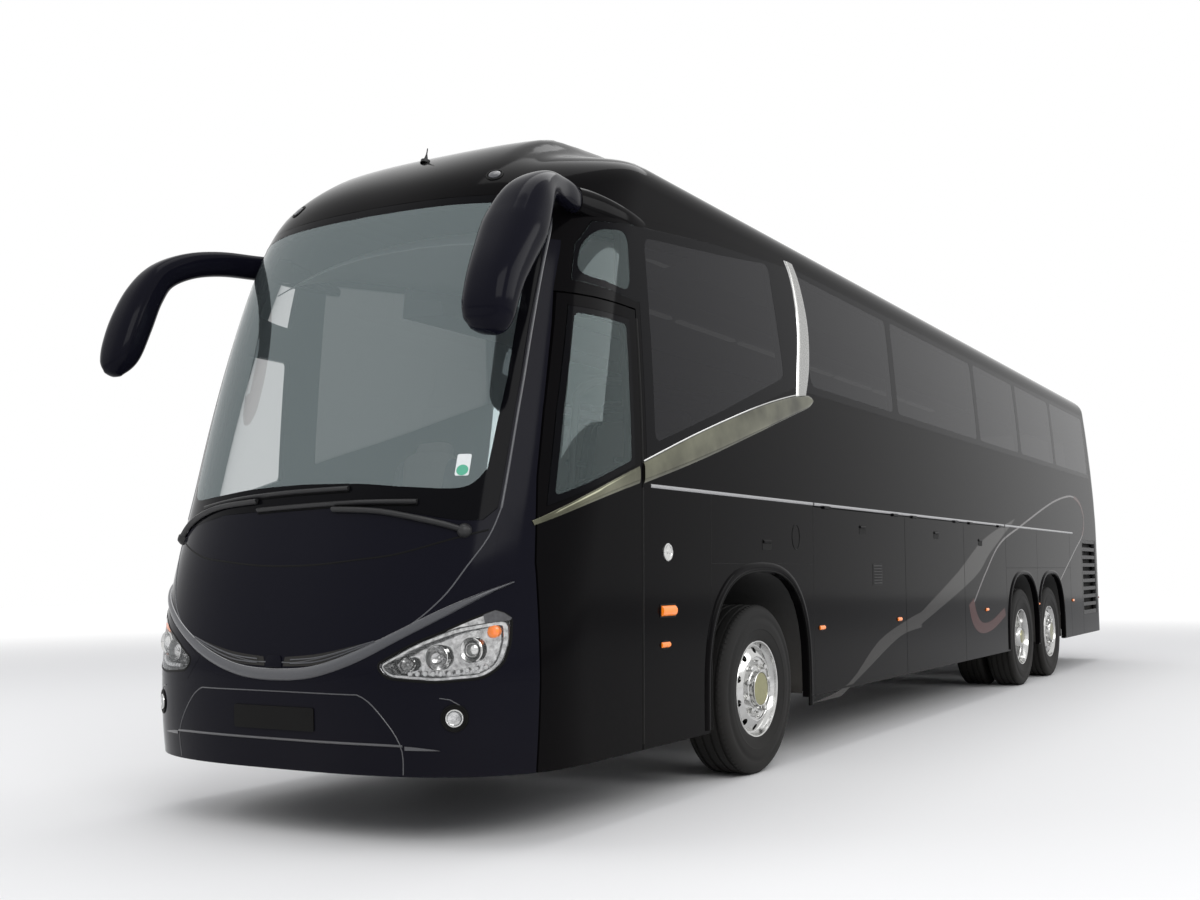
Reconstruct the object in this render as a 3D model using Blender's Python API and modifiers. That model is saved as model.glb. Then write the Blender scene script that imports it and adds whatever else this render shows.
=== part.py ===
"""Three-axle touring coach with one front door, built in metres with +Z up.

The nose faces -Y and the passenger door is on the +X side.
Stations named aft are metres behind the front axle.
"""
import math

import bmesh
import bpy
from mathutils import Matrix, Vector

# Driving dimensions
WIDTH = 2.55
NOSE_AFT = -2.80
TAIL_AFT = 11.27
FRONT_AXLE_Y = -4.21
SILL_Z = 0.33
SILL_REAR_Z = 0.406
ROOF_Z = 3.70
POD_RISE = 0.12
WALL = 0.045
GLASS = 0.008
GAP = 0.0003
CLEAR = 0.006
DOOR_CLEAR = 0.009
BITE = 0.01
BEYOND = 0.40

# Plan outline of the body
NOSE_DEPTH = 0.80
NOSE_POWER_X = 3.0
NOSE_POWER_Y = 2.5
TAIL_DEPTH = 0.35
TAIL_POWER_X = 5.0
TAIL_POWER_Y = 3.0
BELT_Z = 1.75
TUMBLEHOME = 0.105
TUMBLEHOME_POWER = 1.6
EDGE_FRONT_Z = 3.18
EDGE_SIDE_Z = 3.42
EDGE_TURN = (0.44, 1.0)
POLE_AFT = 0.20
TAIL_POLE = 1.60
ROOF_HANDLE_UP = 0.75
ROOF_HANDLE_IN = 0.80
TAIL_LEAN_Z = 1.20
TAIL_LEAN = 0.035
TAIL_LEAN_POWER = 1.5

# Nose profile: height, distance back from the foremost point
NOSE_PROFILE = (
    (0.33, 0.035), (0.50, 0.012), (0.75, 0.0), (0.95, 0.010), (1.25, 0.060), (1.50, 0.125),
    (1.75, 0.190), (2.10, 0.270), (2.50, 0.370), (2.90, 0.490), (3.18, 0.600), (3.42, 0.750),
)
WALL_LEVELS = (0.33, 0.75, 1.25, 1.75, 2.10, 2.50, 2.90)
ROOF_STEPS = (0.14, 0.28, 0.42, 0.58, 0.78, 1.0)
SKIN_NUDGE = 0.001
NOSE_RIBS = 9
TAIL_RIBS = 4
SIDE_RIBS = (-0.95, 0.20, 2.20, 4.20, 4.60, 5.00, 8.00)

# Raised pod along the front of the roof
POD_SIDE = (0.62, 0.86)
POD_FRONT = (-2.05, -1.35)
POD_REAR = (4.20, 5.00)

HALF = WIDTH / 2
CAB_END = NOSE_AFT + NOSE_DEPTH
TOP_CLEAR = ROOF_Z + BEYOND
SLIVER = GAP / 3
SHARP_ANGLE = math.radians(35)
FLAT_ANGLE = math.radians(0.1)

SCENE = bpy.context.scene
PIECES = bpy.data.collections.new("pieces")
CUTTERS = bpy.data.collections.new("cutters")


def clear_scene():
    for item in list(bpy.data.objects):
        bpy.data.objects.remove(item, do_unlink=True)
    SCENE.collection.children.link(PIECES)
    SCENE.collection.children.link(CUTTERS)


# Colour, metallic, roughness, transmission
PAINTS = {
    "black_paint": ((0.012, 0.011, 0.014), 0.0, 0.12, 0.0),
    "dark_glass": ((0.03, 0.035, 0.04), 0.0, 0.05, 0.6),
    "screen_glass": ((0.35, 0.45, 0.45), 0.0, 0.03, 0.8),
    "tyre_rubber": ((0.02, 0.02, 0.02), 0.0, 0.85, 0.0),
    "chrome": ((0.80, 0.80, 0.80), 1.0, 0.08, 0.0),
    "frame_steel": ((0.05, 0.05, 0.055), 0.6, 0.55, 0.0),
    "black_plastic": ((0.02, 0.02, 0.022), 0.0, 0.5, 0.0),
    "floor_grey": ((0.12, 0.12, 0.13), 0.0, 0.8, 0.0),
    "seat_cloth": ((0.30, 0.28, 0.26), 0.0, 0.9, 0.0),
    "lamp_lens": ((0.85, 0.85, 0.85), 0.0, 0.05, 0.7),
    "red_lens": ((0.45, 0.02, 0.02), 0.0, 0.15, 0.3),
    "cast_iron": ((0.08, 0.08, 0.08), 0.7, 0.6, 0.0),
}


def paint(name):
    colour, metallic, roughness, transmission = PAINTS[name]
    made = bpy.data.materials.get(name) or bpy.data.materials.new(name)
    made.use_nodes = True
    shader = made.node_tree.nodes["Principled BSDF"]
    shader.inputs["Base Color"].default_value = (*colour, 1.0)
    shader.inputs["Metallic"].default_value = metallic
    shader.inputs["Roughness"].default_value = roughness
    shader.inputs["Transmission Weight"].default_value = transmission
    return made


def file_away(item, where):
    """Puts an object with the pieces, or with the cutters, which are only drawn as wires."""
    for home in list(item.users_collection):
        home.objects.unlink(item)
    where.objects.link(item)
    if where is CUTTERS:
        item.hide_render = True
        item.display_type = "WIRE"
    return item


def close_up(data, plain_ends=False):
    """Welds the points that meet and turns every face outwards."""
    work = bmesh.new()
    work.from_mesh(data)
    bmesh.ops.remove_doubles(work, verts=work.verts, dist=SLIVER)
    if plain_ends:
        bmesh.ops.dissolve_limit(work, angle_limit=FLAT_ANGLE, verts=work.verts, edges=work.edges)
    bmesh.ops.recalc_face_normals(work, faces=work.faces)
    work.to_mesh(data)
    work.free()


def body_from(name, points, faces, where):
    """Closed mesh from points in aft coordinates."""
    data = bpy.data.meshes.new(name)
    data.from_pydata([(x, y + FRONT_AXLE_Y, z) for x, y, z in points], [], faces)
    close_up(data)
    return file_away(bpy.data.objects.new(name, data), where)


def dress(item, finish, hinge=None):
    """Gives a piece its paint and, when it moves, its origin on the joint's axis."""
    item.data.materials.append(paint(finish))
    if item.data.polygons:
        item.data.shade_smooth()
        item.data.set_sharp_from_angle(angle=SHARP_ANGLE)
    if hinge is not None:
        place = Vector((hinge[0], hinge[1] + FRONT_AXLE_Y, hinge[2]))
        item.data.transform(Matrix.Translation(-place))
        item.location = place
    return item


def combine(item, other, how):
    step = item.modifiers.new(how.lower(), "BOOLEAN")
    step.operation = how
    step.solver = "EXACT"
    step.object = other
    return item


def keep(item, *others):
    for other in others:
        combine(item, other, "INTERSECT")
    return item


def cut(item, *others):
    for other in others:
        combine(item, other, "DIFFERENCE")
    return item


def join(item, *others):
    for other in others:
        combine(item, other, "UNION")
    return item


def prism(name, outline, low, high, axis, where=None):
    """Outline pairs are (y, z) for axis 0, (x, z) for axis 1 and (x, y) for axis 2."""
    curve = bpy.data.curves.new(name, "CURVE")
    curve.dimensions = "2D"
    curve.fill_mode = "BOTH"
    curve.extrude = (high - low) / 2
    spline = curve.splines.new("POLY")
    spline.points.add(len(outline) - 1)
    for point, (first, second) in zip(spline.points, outline):
        point.co = (first, second, 0.0, 1.0)
    spline.use_cyclic_u = True
    flat = bpy.data.objects.new(name, curve)
    data = bpy.data.meshes.new_from_object(flat)
    bpy.data.objects.remove(flat)
    middle = (low + high) / 2
    rows = (
        ((0, 0, 1, middle), (1, 0, 0, 0), (0, 1, 0, 0)),
        ((1, 0, 0, 0), (0, 0, 1, middle), (0, 1, 0, 0)),
        ((1, 0, 0, 0), (0, 1, 0, 0), (0, 0, 1, middle)),
    )[axis]
    turn = Matrix((*rows, (0, 0, 0, 1)))
    data.transform(Matrix.Translation((0, FRONT_AXLE_Y, 0)) @ turn)
    close_up(data, True)
    return file_away(bpy.data.objects.new(name, data), where or CUTTERS)


def block(name, low, high, where=None):
    """Box between two corners."""
    work = bmesh.new()
    bmesh.ops.create_cube(work, size=1.0)
    size = [b - a for a, b in zip(low, high)]
    middle = [(a + b) / 2 for a, b in zip(low, high)]
    middle[1] += FRONT_AXLE_Y
    fit = Matrix.Translation(middle) @ Matrix.Diagonal((*size, 1.0))
    bmesh.ops.transform(work, verts=work.verts, matrix=fit)
    data = bpy.data.meshes.new(name)
    work.to_mesh(data)
    work.free()
    return file_away(bpy.data.objects.new(name, data), where or CUTTERS)


def bar(name, side, across, aft, heights, where=None):
    """Box on one side of the coach, given by its distances from the middle."""
    low, high = sorted((side * across[0], side * across[1]))
    return block(name, (low, aft[0], heights[0]), (high, aft[1], heights[1]), where)


def grow(outline, by):
    """Moves every side of a closed outline outwards by the same distance."""
    area = sum(a[0] * b[1] - b[0] * a[1] for a, b in zip(outline, outline[1:] + outline[:1]))
    turn = 1.0 if area > 0 else -1.0
    grown = []
    for index, here in enumerate(outline):
        before = outline[index - 1]
        after = outline[(index + 1) % len(outline)]
        normals = []
        for a, b in ((before, here), (here, after)):
            run = Vector((b[0] - a[0], b[1] - a[1])).normalized()
            normals.append(Vector((run.y, -run.x)) * turn)
        mid = normals[0] + normals[1]
        reach = by / mid.normalized().dot(normals[0])
        spot = Vector(here) + mid.normalized() * reach
        grown.append((spot.x, spot.y))
    return tuple(grown)


AXIS_TURN = {"X": Matrix.Rotation(math.pi / 2, 4, "Y"), "-X": Matrix.Rotation(-math.pi / 2, 4, "Y"),
             "Y": Matrix.Rotation(-math.pi / 2, 4, "X"), "Z": Matrix.Identity(4)}


def turned(name, profile, segments, centre, axis="X", where=None):
    """Profile of (distance along the axis, radius) pairs, turned about the piece's own origin."""
    line = list(profile) if profile[0][0] > profile[-1][0] else list(profile)[::-1]
    data = bpy.data.meshes.new(name)
    edges = [(index, index + 1) for index in range(len(line) - 1)]
    if line[0][1] > 0:
        edges.append((len(line) - 1, 0))
    data.from_pydata([(radius, 0.0, along) for along, radius in line], edges, [])
    item = bpy.data.objects.new(name, data)
    item.location = (centre[0], centre[1] + FRONT_AXLE_Y, centre[2])
    item.rotation_euler = AXIS_TURN[axis].to_euler()
    turning = item.modifiers.new("turned", "SCREW")
    turning.axis = "Z"
    turning.steps = segments
    turning.render_steps = segments
    turning.use_merge_vertices = True
    turning.merge_threshold = SLIVER
    return file_away(item, where or CUTTERS)


def rod(name, along, radius, sides, centre, axis="Z", where=None):
    return turned(name, ((along[1], 0.0), (along[1], radius), (along[0], radius), (along[0], 0.0)), sides,
                  centre, axis, where)


def clear_radius(radius, sides):
    """Corner radius of a hole whose flats stay clear of a turning pin."""
    return (radius + GAP) / math.cos(math.pi / sides)


def eye(name, along, radius, pin_radius, sides, centre):
    """Upright ring around a turning pin."""
    hole = clear_radius(pin_radius, sides)
    return turned(name, ((along[1], hole), (along[1], radius), (along[0], radius), (along[0], hole)), sides,
                  centre, "Z")


def loft(name, sections, sides, where=None):
    """Tube through sections of (centre, across radius, fore-and-aft radius)."""
    points = []
    for index, (centre, across, along) in enumerate(sections):
        before = Vector(sections[max(index - 1, 0)][0])
        after = Vector(sections[min(index + 1, len(sections) - 1)][0])
        run = (after - before).normalized()
        side = run.cross(Vector((0, -run.z, run.y))).normalized()
        other = run.cross(side).normalized()
        for step in range(sides):
            angle = math.tau * step / sides
            spot = Vector(centre) + side * across * math.cos(angle) + other * along * math.sin(angle)
            points.append(tuple(spot))
    faces = [tuple(range(sides)), tuple(range(len(points) - 1, len(points) - sides - 1, -1))]
    for index in range(len(sections) - 1):
        for step in range(sides):
            nxt = (step + 1) % sides
            base = index * sides
            faces.append((base + step, base + nxt, base + sides + nxt, base + sides + step))
    return body_from(name, points, faces, where or CUTTERS)


def ease(low, high, value):
    share = min(1.0, max(0.0, (value - low) / (high - low)))
    return share * share * (3 - 2 * share)


def between(table, value):
    for (low, first), (high, second) in zip(table, table[1:]):
        if value <= high:
            share = max(0.0, (value - low) / (high - low))
            return first + (second - first) * share
    return table[-1][1]


def wall_half(z):
    share = max(0.0, z - BELT_Z) / (EDGE_SIDE_Z - BELT_Z)
    return HALF - TUMBLEHOME * share ** TUMBLEHOME_POWER


def tail_back(z):
    return TAIL_AFT - TAIL_LEAN * max(0.0, z - TAIL_LEAN_Z) ** TAIL_LEAN_POWER


def outline_at(rib, z):
    """Left half of the plan outline at one height, for one rib."""
    kind, value = rib
    half = wall_half(z)
    if kind == "nose":
        angle = value * math.pi / 2
        ahead = NOSE_AFT + between(NOSE_PROFILE, z)
        return (half * math.sin(angle) ** (2 / NOSE_POWER_X),
                ahead + NOSE_DEPTH * (1 - math.cos(angle) ** (2 / NOSE_POWER_Y)))
    if kind == "tail":
        angle = value * math.pi / 2
        return (half * math.cos(angle) ** (2 / TAIL_POWER_X),
                tail_back(z) - TAIL_DEPTH * (1 - math.sin(angle) ** (2 / TAIL_POWER_Y)))
    return (half, value)


def edge_at(rib):
    kind, value = rib
    share = ease(*EDGE_TURN, value) if kind == "nose" else 1.0
    return EDGE_FRONT_Z + (EDGE_SIDE_Z - EDGE_FRONT_Z) * share


def pod_at(x, aft):
    along = ease(*POD_FRONT, aft) * (1 - ease(*POD_REAR, aft))
    return POD_RISE * along * (1 - ease(*POD_SIDE, abs(x)))


def surface(rib, step):
    """One point of the outer skin: step runs 0 to 1 up the wall and 1 to 2 over the roof."""
    edge = edge_at(rib)
    if step <= 1:
        z = SILL_Z + (edge - SILL_Z) * step
        return Vector((*outline_at(rib, z), z))
    low = outline_at(rib, edge - GLASS)
    high = outline_at(rib, edge)
    start = Vector((*high, edge))
    lean = Vector(((high[0] - low[0]) / GLASS, (high[1] - low[1]) / GLASS, 1.0))
    peak = Vector((0, min(max(high[1], POLE_AFT), TAIL_AFT - TAIL_POLE), ROOF_Z))
    first = start + lean * (ROOF_Z - edge) * ROOF_HANDLE_UP
    back = Vector((start.x, start.y - peak.y, 0)) * ROOF_HANDLE_IN
    second = peak + back
    t = step - 1
    spot = (start * (1 - t) ** 3 + first * 3 * (1 - t) ** 2 * t
            + second * 3 * (1 - t) * t * t + peak * t ** 3)
    spot.z += pod_at(spot.x, spot.y)
    return spot


def rib_list():
    ribs = [("nose", index / NOSE_RIBS) for index in range(NOSE_RIBS + 1)]
    ribs += [("side", aft) for aft in SIDE_RIBS]
    ribs += [("tail", index / TAIL_RIBS) for index in range(TAIL_RIBS + 1)]
    return ribs


def skin_points(depth):
    """Grid of skin points moved inwards by a depth, over the whole body."""
    nudge = SKIN_NUDGE
    ribs = rib_list()
    grid = []
    for rib in ribs:
        edge = edge_at(rib)
        steps = [(z - SILL_Z) / (edge - SILL_Z) for z in WALL_LEVELS] + [1.0]
        steps += [1 + share for share in ROOF_STEPS]
        column = []
        for step in steps:
            spot = surface(rib, step)
            if step >= 2:
                normal = Vector((0, 0, 1))
            else:
                rise = surface(rib, step + nudge) - surface(rib, max(step - nudge, 0))
                if rib[0] == "side":
                    run = Vector((0, 1, 0))
                else:
                    ahead = (rib[0], min(rib[1] + nudge, 1.0))
                    behind = (rib[0], max(rib[1] - nudge, 0.0))
                    own = spot.z
                    if step <= 1:
                        a = Vector((*outline_at(ahead, own), own))
                        b = Vector((*outline_at(behind, own), own))
                    else:
                        a = surface(ahead, step)
                        b = surface(behind, step)
                    run = a - b
                normal = run.cross(rise).normalized()
                if rib in (ribs[0], ribs[-1]):
                    normal.x = 0.0
                    normal.normalize()
            if step == 0:
                normal.z = 0.0
                normal.normalize()
            column.append(spot - normal * depth)
        grid.append(column)
    return grid


def skin_rings(depths):
    """Points of the whole skin at each depth, the first point of each column, and its faces."""
    points = []
    rings = []
    faces = []
    for depth in depths:
        grid = skin_points(depth)
        ring = []
        for side in (1, -1):
            for column in (grid if side > 0 else grid[::-1]):
                ring.append(len(points))
                points.extend((side * spot.x, spot.y, spot.z) for spot in column)
        rings.append(ring)
        for index, here in enumerate(ring):
            after = ring[(index + 1) % len(ring)]
            for row in range(len(grid[0]) - 1):
                low, low_after = here + row, after + row
                if index < len(grid):
                    faces += [(low, low_after, low_after + 1), (low, low_after + 1, low + 1)]
                else:
                    faces += [(low, low_after, low + 1), (low_after, low_after + 1, low + 1)]
    return points, rings, faces


def layer(name, outer, inner, where=None):
    """Closed sheet of the skin between two depths, open to the ground."""
    points, (outside, inside), faces = skin_rings((outer, inner))
    for index in range(len(outside)):
        after = (index + 1) % len(outside)
        faces.append((outside[index], outside[after], inside[after], inside[index]))
    return body_from(name, points, faces, where or CUTTERS)


def inner_volume(name, depth):
    """Closed solid that fills the body down to the sill."""
    points, (ring,), faces = skin_rings((depth,))
    floor = []
    for index in ring:
        if not floor or (Vector(points[floor[-1]]) - Vector(points[index])).length > GAP:
            floor.append(index)
    if (Vector(points[floor[0]]) - Vector(points[floor[-1]])).length < GAP:
        floor.pop()
    faces.append(tuple(floor))
    return body_from(name, points, faces, CUTTERS)


def stations(start, table):
    """Outline from pairs of (distance behind a station, height)."""
    return tuple((start + back, z) for back, z in table)


def shares(table):
    """Outline from pairs of (share of half the width, height)."""
    return tuple((HALF * share, z) for share, z in table)


def mirrored(half_outline):
    """Full outline from its +X half, which starts and ends on the middle."""
    other = [(-x, z) for x, z in half_outline[::-1] if x > 0]
    return tuple(half_outline) + tuple(other)


# Seams of the side: distance behind the cab's corner, height
FRONT_LINE = stations(CAB_END, (
    (-0.34, 0.30), (-0.335, 1.30), (-0.28, 1.71), (-0.21, 2.05), (-0.06, 2.68), (0.03, 2.95)))
ROOF_SPLIT_Z = 3.40
ROOF_LINE = stations(CAB_END, ((0.07, 3.10), (0.53, 3.19), (1.58, 3.31), (2.90, ROOF_SPLIT_Z)))
TAIL_LINE = TAIL_AFT - 0.32
DOOR_REAR = CAB_END + 0.515
DOOR_TOP = 2.66
DOOR_WINDOW = stations(CAB_END, ((-0.25, 1.57), (0.45, 1.81), (0.45, 2.60), (-0.01, 2.60), (-0.15, 2.05)))
GLAZING_LOW = stations(CAB_END, ((0.57, 1.84), (1.40, 2.13), (2.60, 2.49)))
GLAZING_HIGH = stations(CAB_END, (
    (2.90, 3.375), (1.58, 3.27), (0.53, 3.14), (0.22, 3.09), (0.09, 2.94), (0.03, 2.74), (0.57, 2.71)))
GLAZING_TAIL = stations(TAIL_AFT, ((-0.52, 2.49), (-0.52, 3.375)))
GLAZING = GLAZING_LOW + GLAZING_TAIL + GLAZING_HIGH
FRONT_PANES = (
    stations(CAB_END, ((0.08, 2.79), (0.40, 2.77), (0.44, 3.07), (0.25, 3.04), (0.13, 2.92))),
    stations(CAB_END, ((0.67, 1.95), (1.45, 2.20), (2.46, 2.55), (2.35, 3.31), (1.60, 3.21), (0.67, 3.10))),
)
# Saloon panes: front at the bottom, front at the top, rear
PANE_Z = (2.55, 3.32)
PANE_RISE = 0.01
PANES = ((0.94, 0.70, 2.66), (2.78, 2.78, 5.17), (5.29, 5.29, 6.86), (6.98, 6.98, 8.61),
         (8.73, 8.73, TAIL_AFT - 0.59))

# Lower side: locker doors by their ends, radiator grille
LOCKER_TOP = 1.70
LOCKERS = (("locker_front", 0.84, 2.78), ("locker_middle", 2.78, 4.48), ("locker_rear", 4.48, 6.02))
HINGE_R = 0.012
HINGE_OUT = 0.004
HINGE_LENGTH = 0.12
HINGE_IN = 2 * HINGE_LENGTH
HINGE_SIDES = 10
GRILLE_AFT = (TAIL_AFT - 1.30, TAIL_AFT - 0.42)
GRILLE_Z = (0.66, 1.64)
GRILLE_SLATS = 9
GRILLE_BORDER = 0.03
GRILLE_SHARE = 0.55
GRILLE_DEPTH = 0.004

# Front outlines: share of half the width, height
SCREEN_HALF = shares((
    (0.0, 1.58), (0.431, 1.56), (0.706, 1.50), (0.784, 1.50), (0.8235, 1.56), (0.8275, 2.20),
    (0.8157, 2.80), (0.804, 3.06), (0.7647, 3.16), (0.6745, 3.205), (0.0, 3.22)))
BUMPER_HALF = shares((
    (0.0, 0.745), (0.235, 0.752), (0.455, 0.800), (0.518, 0.765), (0.698, 0.750), (1.14, 0.765),
    (1.14, -BEYOND), (0.0, -BEYOND)))
PANEL_HALF = shares((
    (0.0, 0.770), (0.140, 0.775), (0.365, 0.850), (0.560, 0.950), (0.718, 1.075), (0.831, 1.200),
    (0.839, 1.470), (0.734, 1.425), (0.516, 1.348), (0.337, 1.325), (0.0, 1.287)))
HEADLAMP = shares((
    (0.4745, 0.835), (0.518, 0.775), (0.698, 0.758), (0.839, 0.775), (0.886, 0.830), (0.902, 0.930),
    (0.894, 1.040), (0.758, 1.005), (0.630, 0.941)))
LAMP_DEPTH = 0.13
LAMP_REAR = CAB_END - 0.38
NOSE_REACH = (NOSE_AFT - BEYOND, CAB_END + 0.75 * NOSE_DEPTH)
SCREEN_BOND = 0.055
WINDOW_BOND = 0.04
PROUD = 0.02

# Tail outlines: share of half the width, height
REAR_WINDOW = shares(((-0.7216, 2.53), (0.7216, 2.53), (0.6745, 3.262), (-0.6745, 3.262)))
ENGINE_LID = shares(((-0.7216, 0.62), (0.7216, 0.62), (0.7216, 1.75), (-0.7216, 1.75)))
LID_HINGE_X = HALF * 0.196
TAIL_LAMP = shares(((0.784, 0.80), (0.9686, 0.80), (0.9686, 1.50), (0.784, 1.50)))
TAIL_LAMP_DEPTH = 0.06
TAIL_LAMP_REACH = (TAIL_AFT - 0.20, TAIL_AFT + BEYOND)
TAIL_REACH = (TAIL_LINE - PROUD, TAIL_AFT + BEYOND)

# Wheels and axles
WHEELBASE = 6.75
TAG_PITCH = 1.35
AXLES = (0.0, WHEELBASE, WHEELBASE + TAG_PITCH)
TYRE_R = 0.522
TYRE_HALF = 0.1475
TYRE_INSET = 0.02
TWIN_PITCH = 0.345
KINGPIN_OFFSET = 0.1075
WHEEL_SIDES = 20
WHEEL_X = HALF - TYRE_HALF - TYRE_INSET
KINGPIN_X = WHEEL_X - KINGPIN_OFFSET
SPINDLE_R = 0.05
SPINDLE_SIDES = 16
SPINDLE_END = 0.0925
HUB_BORE_END = 0.10
# Arches: station, half length, top
ARCHES = ((AXLES[0], 0.72, 1.25), (AXLES[1], 0.655, 1.20), (AXLES[2], 0.655, 1.20))
ARCH_POWER = 2.6
ARCH_STEPS = 14

# Floors and frame
SALOON_FLOOR = (1.50, 1.55)
BAY_FLOOR = (0.42, 0.47)
CAB_FLOOR = (0.93, 0.97)
PLATE = 0.05
BULKHEAD_FRONT = CAB_END + 1.22
BAY = (0.93, 5.77)
BAY_SIDE = HALF - WALL - GLASS
CAB_EDGE = HALF * 0.26
CAB_FLOOR_FRONT = CAB_END - 0.25
RAIL_ROOM = 0.095
RAIL_THICK = 0.08
RAIL_OUT = WHEEL_X - TYRE_HALF - TWIN_PITCH - RAIL_ROOM
RAIL_IN = RAIL_OUT - RAIL_THICK
RAIL_Z = (0.73, 0.90)
RAIL_FRONT = CAB_END - 0.20
RAIL_REAR = TAIL_AFT - 0.42
FLOOR_REAR = TAIL_AFT - 0.37
POST_LOW = RAIL_Z[0] - BITE
ENGINE_AFT = (TAIL_AFT - 2.07, TAIL_AFT - 0.67)
ENGINE_Z = (0.48, 1.28)
ENGINE_POST = ENGINE_AFT[0] - 0.20

# Entrance steps: rear end of each tread behind the cab's corner, its height
TREADS = ((0.28, 0.40), (0.52, 0.66), (0.76, 0.90), (0.99, 1.12))
LANDING_Z = 1.34
STEPS_FRONT = -0.25
STEPS_SIDE = HALF - 0.085
STEPS_UNDER = ((1.05, 1.20), (0.32, 0.46), (0.30, 0.355), (STEPS_FRONT, 0.355))
LANDING_UNDER = 1.25

# Door gear: the post turns in the step, the pins in the arms' eyes
DOOR_GEAR_X = HALF - 0.225
DOOR_POST = (DOOR_GEAR_X, CAB_END - 0.08)
DOOR_PIN = (DOOR_GEAR_X, CAB_END + 0.455)
DOOR_ARM_R = 0.02
DOOR_ARM_HALF = 0.018
DOOR_ARMS_Z = (0.75, 2.08)
DOOR_POST_TOP = 2.20
DOOR_PIN_R = 0.012
DOOR_PIN_SIDES = 12
DOOR_PIN_BELOW = 0.04
DOOR_PIN_ABOVE = 0.05
DOOR_EYE_R = 0.032
DOOR_LUG_HALF = 0.03
DOOR_LUG_THICK = 0.024

# Cab: dashboard outline, steering wheel, driver's seat, all behind the cab's corner
CAB_TOP = CAB_FLOOR[1] + GAP
DASH_LINE = stations(CAB_END, (
    (-0.24, CAB_TOP), (0.02, CAB_TOP), (0.02, 1.10), (-0.05, 1.42), (-0.20, 1.50), (-0.62, 1.50),
    (-0.62, 1.22), (-0.24, 1.14)))
DASH_SIDE = HALF - 0.135
DASH_END = HALF * 0.486
DRIVER_X = -(HALF - 0.645)
STEERING_POS = (DRIVER_X, CAB_END + 0.14, 1.44)
STEERING_TILT = math.radians(-28)
RIM_R = 0.235
RIM_TUBE = 0.016
RIM_SEGMENTS = 20
RIM_SIDES = 6
SPOKES = 3
SPOKE_R = 0.011
HUB_LINE = ((0.02, 0.0), (0.02, 0.055), (-0.02, 0.06), (-0.14, 0.03), (-0.14, 0.0))
COLUMN_R = 0.028
COLUMN_END = -0.38
COLUMN_SIDES = 13
DRIVER_SEAT = stations(CAB_END, (
    (0.58, CAB_TOP), (0.98, CAB_TOP), (0.98, 1.30), (1.12, 1.34), (1.20, 2.04), (1.10, 2.06),
    (1.00, 1.46), (0.48, 1.48), (0.46, 1.36), (0.70, 1.32), (0.70, 1.10), (0.58, 1.05)))
DRIVER_SEAT_HALF = 0.25

# Passenger seats: one rail on each side carries all its pairs
SEAT_PITCH = 0.80
SEAT_ROWS = 12
SEAT_FIRST = 0.55
AISLE_HALF = 0.27
SEAT_SIDE_X = HALF - 0.135
SEAT_RAIL_HALF = 0.08
SEAT_RAIL_Z = 0.03
SEAT_LEG_HALF = 0.04
SEAT_LEG = (0.15, 0.35)
SEAT_LEG_TOP = 0.30
SEAT_RAIL_ENDS = (-0.05, 0.60)
SEAT_LINE = (
    (0.0, 0.36), (0.42, 0.32), (0.48, 0.36), (0.62, 1.05), (0.70, 1.05), (0.58, 0.28),
    (0.50, 0.22), (0.02, 0.26))

# Luggage racks: distance in from the widest side, height
RACK_LINE = ((0.475, 3.00), (-0.025, 3.02), (-0.025, 3.30), (0.175, 3.30), (0.195, 3.14), (0.455, 3.10))
RACK_AFT = (CAB_END + 1.40, TAIL_AFT - 0.67)

# Mirrors: distance in from the widest side, distance behind the cab's corner, height,
# radius across, radius fore and aft
MIRROR = (
    (0.235, 0.20, 3.150, 0.045, 0.045), (0.139, 0.06, 3.133, 0.045, 0.045),
    (0.100, -0.17, 3.118, 0.046, 0.042), (0.075, -0.35, 3.060, 0.050, 0.045),
    (0.041, -0.517, 2.965, 0.058, 0.050), (0.027, -0.60, 2.850, 0.080, 0.062),
    (0.030, -0.68, 2.660, 0.106, 0.080), (0.030, -0.745, 2.480, 0.113, 0.088),
    (0.025, -0.785, 2.330, 0.085, 0.060),
)
MIRROR_SIDES = 12

clear_scene()


def side_span(side):
    """Reach of a cutter that passes through one side of the body only."""
    near = HALF / 4
    return (near, HALF + BEYOND) if side > 0 else (-HALF - BEYOND, -near)


def hinge_barrel(name, centre, axis):
    return rod(name, (-HINGE_LENGTH / 2, HINGE_LENGTH / 2), HINGE_R, HINGE_SIDES, centre, axis)


def hinge_bed(name, centre, axis):
    """Groove that a hinge barrel turns in."""
    half = HINGE_LENGTH / 2 + GAP
    return rod(name, (-half, half), clear_radius(HINGE_R, HINGE_SIDES), HINGE_SIDES, centre, axis)


def arch_outline(arch):
    centre, half, top = arch
    base = TYRE_R
    outline = [(centre + half, -BEYOND), (centre + half, base)]
    for step in range(1, ARCH_STEPS):
        angle = math.pi * step / ARCH_STEPS
        c, s = math.cos(angle), math.sin(angle)
        across = math.copysign(abs(c) ** (2 / ARCH_POWER), c)
        outline.append((centre + half * across, base + (top - base) * s ** (2 / ARCH_POWER)))
    outline += [(centre - half, base), (centre - half, -BEYOND)]
    return tuple(outline)


def moved(outline, back, up=0.0):
    return [(aft + back, z + up) for aft, z in outline]


def rectangle(aft, heights):
    return ((aft[0], heights[0]), (aft[1], heights[0]), (aft[1], heights[1]), (aft[0], heights[1]))


def sided(outline, side):
    return tuple((side * x, z) for x, z in outline)


def pane_pocket(name, outline, low, high, axis):
    """Rebate that a bonded pane lies in."""
    return keep(layer(name, -PROUD, GLASS + GAP), prism(name + "_edge", grow(outline, GAP), low, high, axis))


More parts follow.
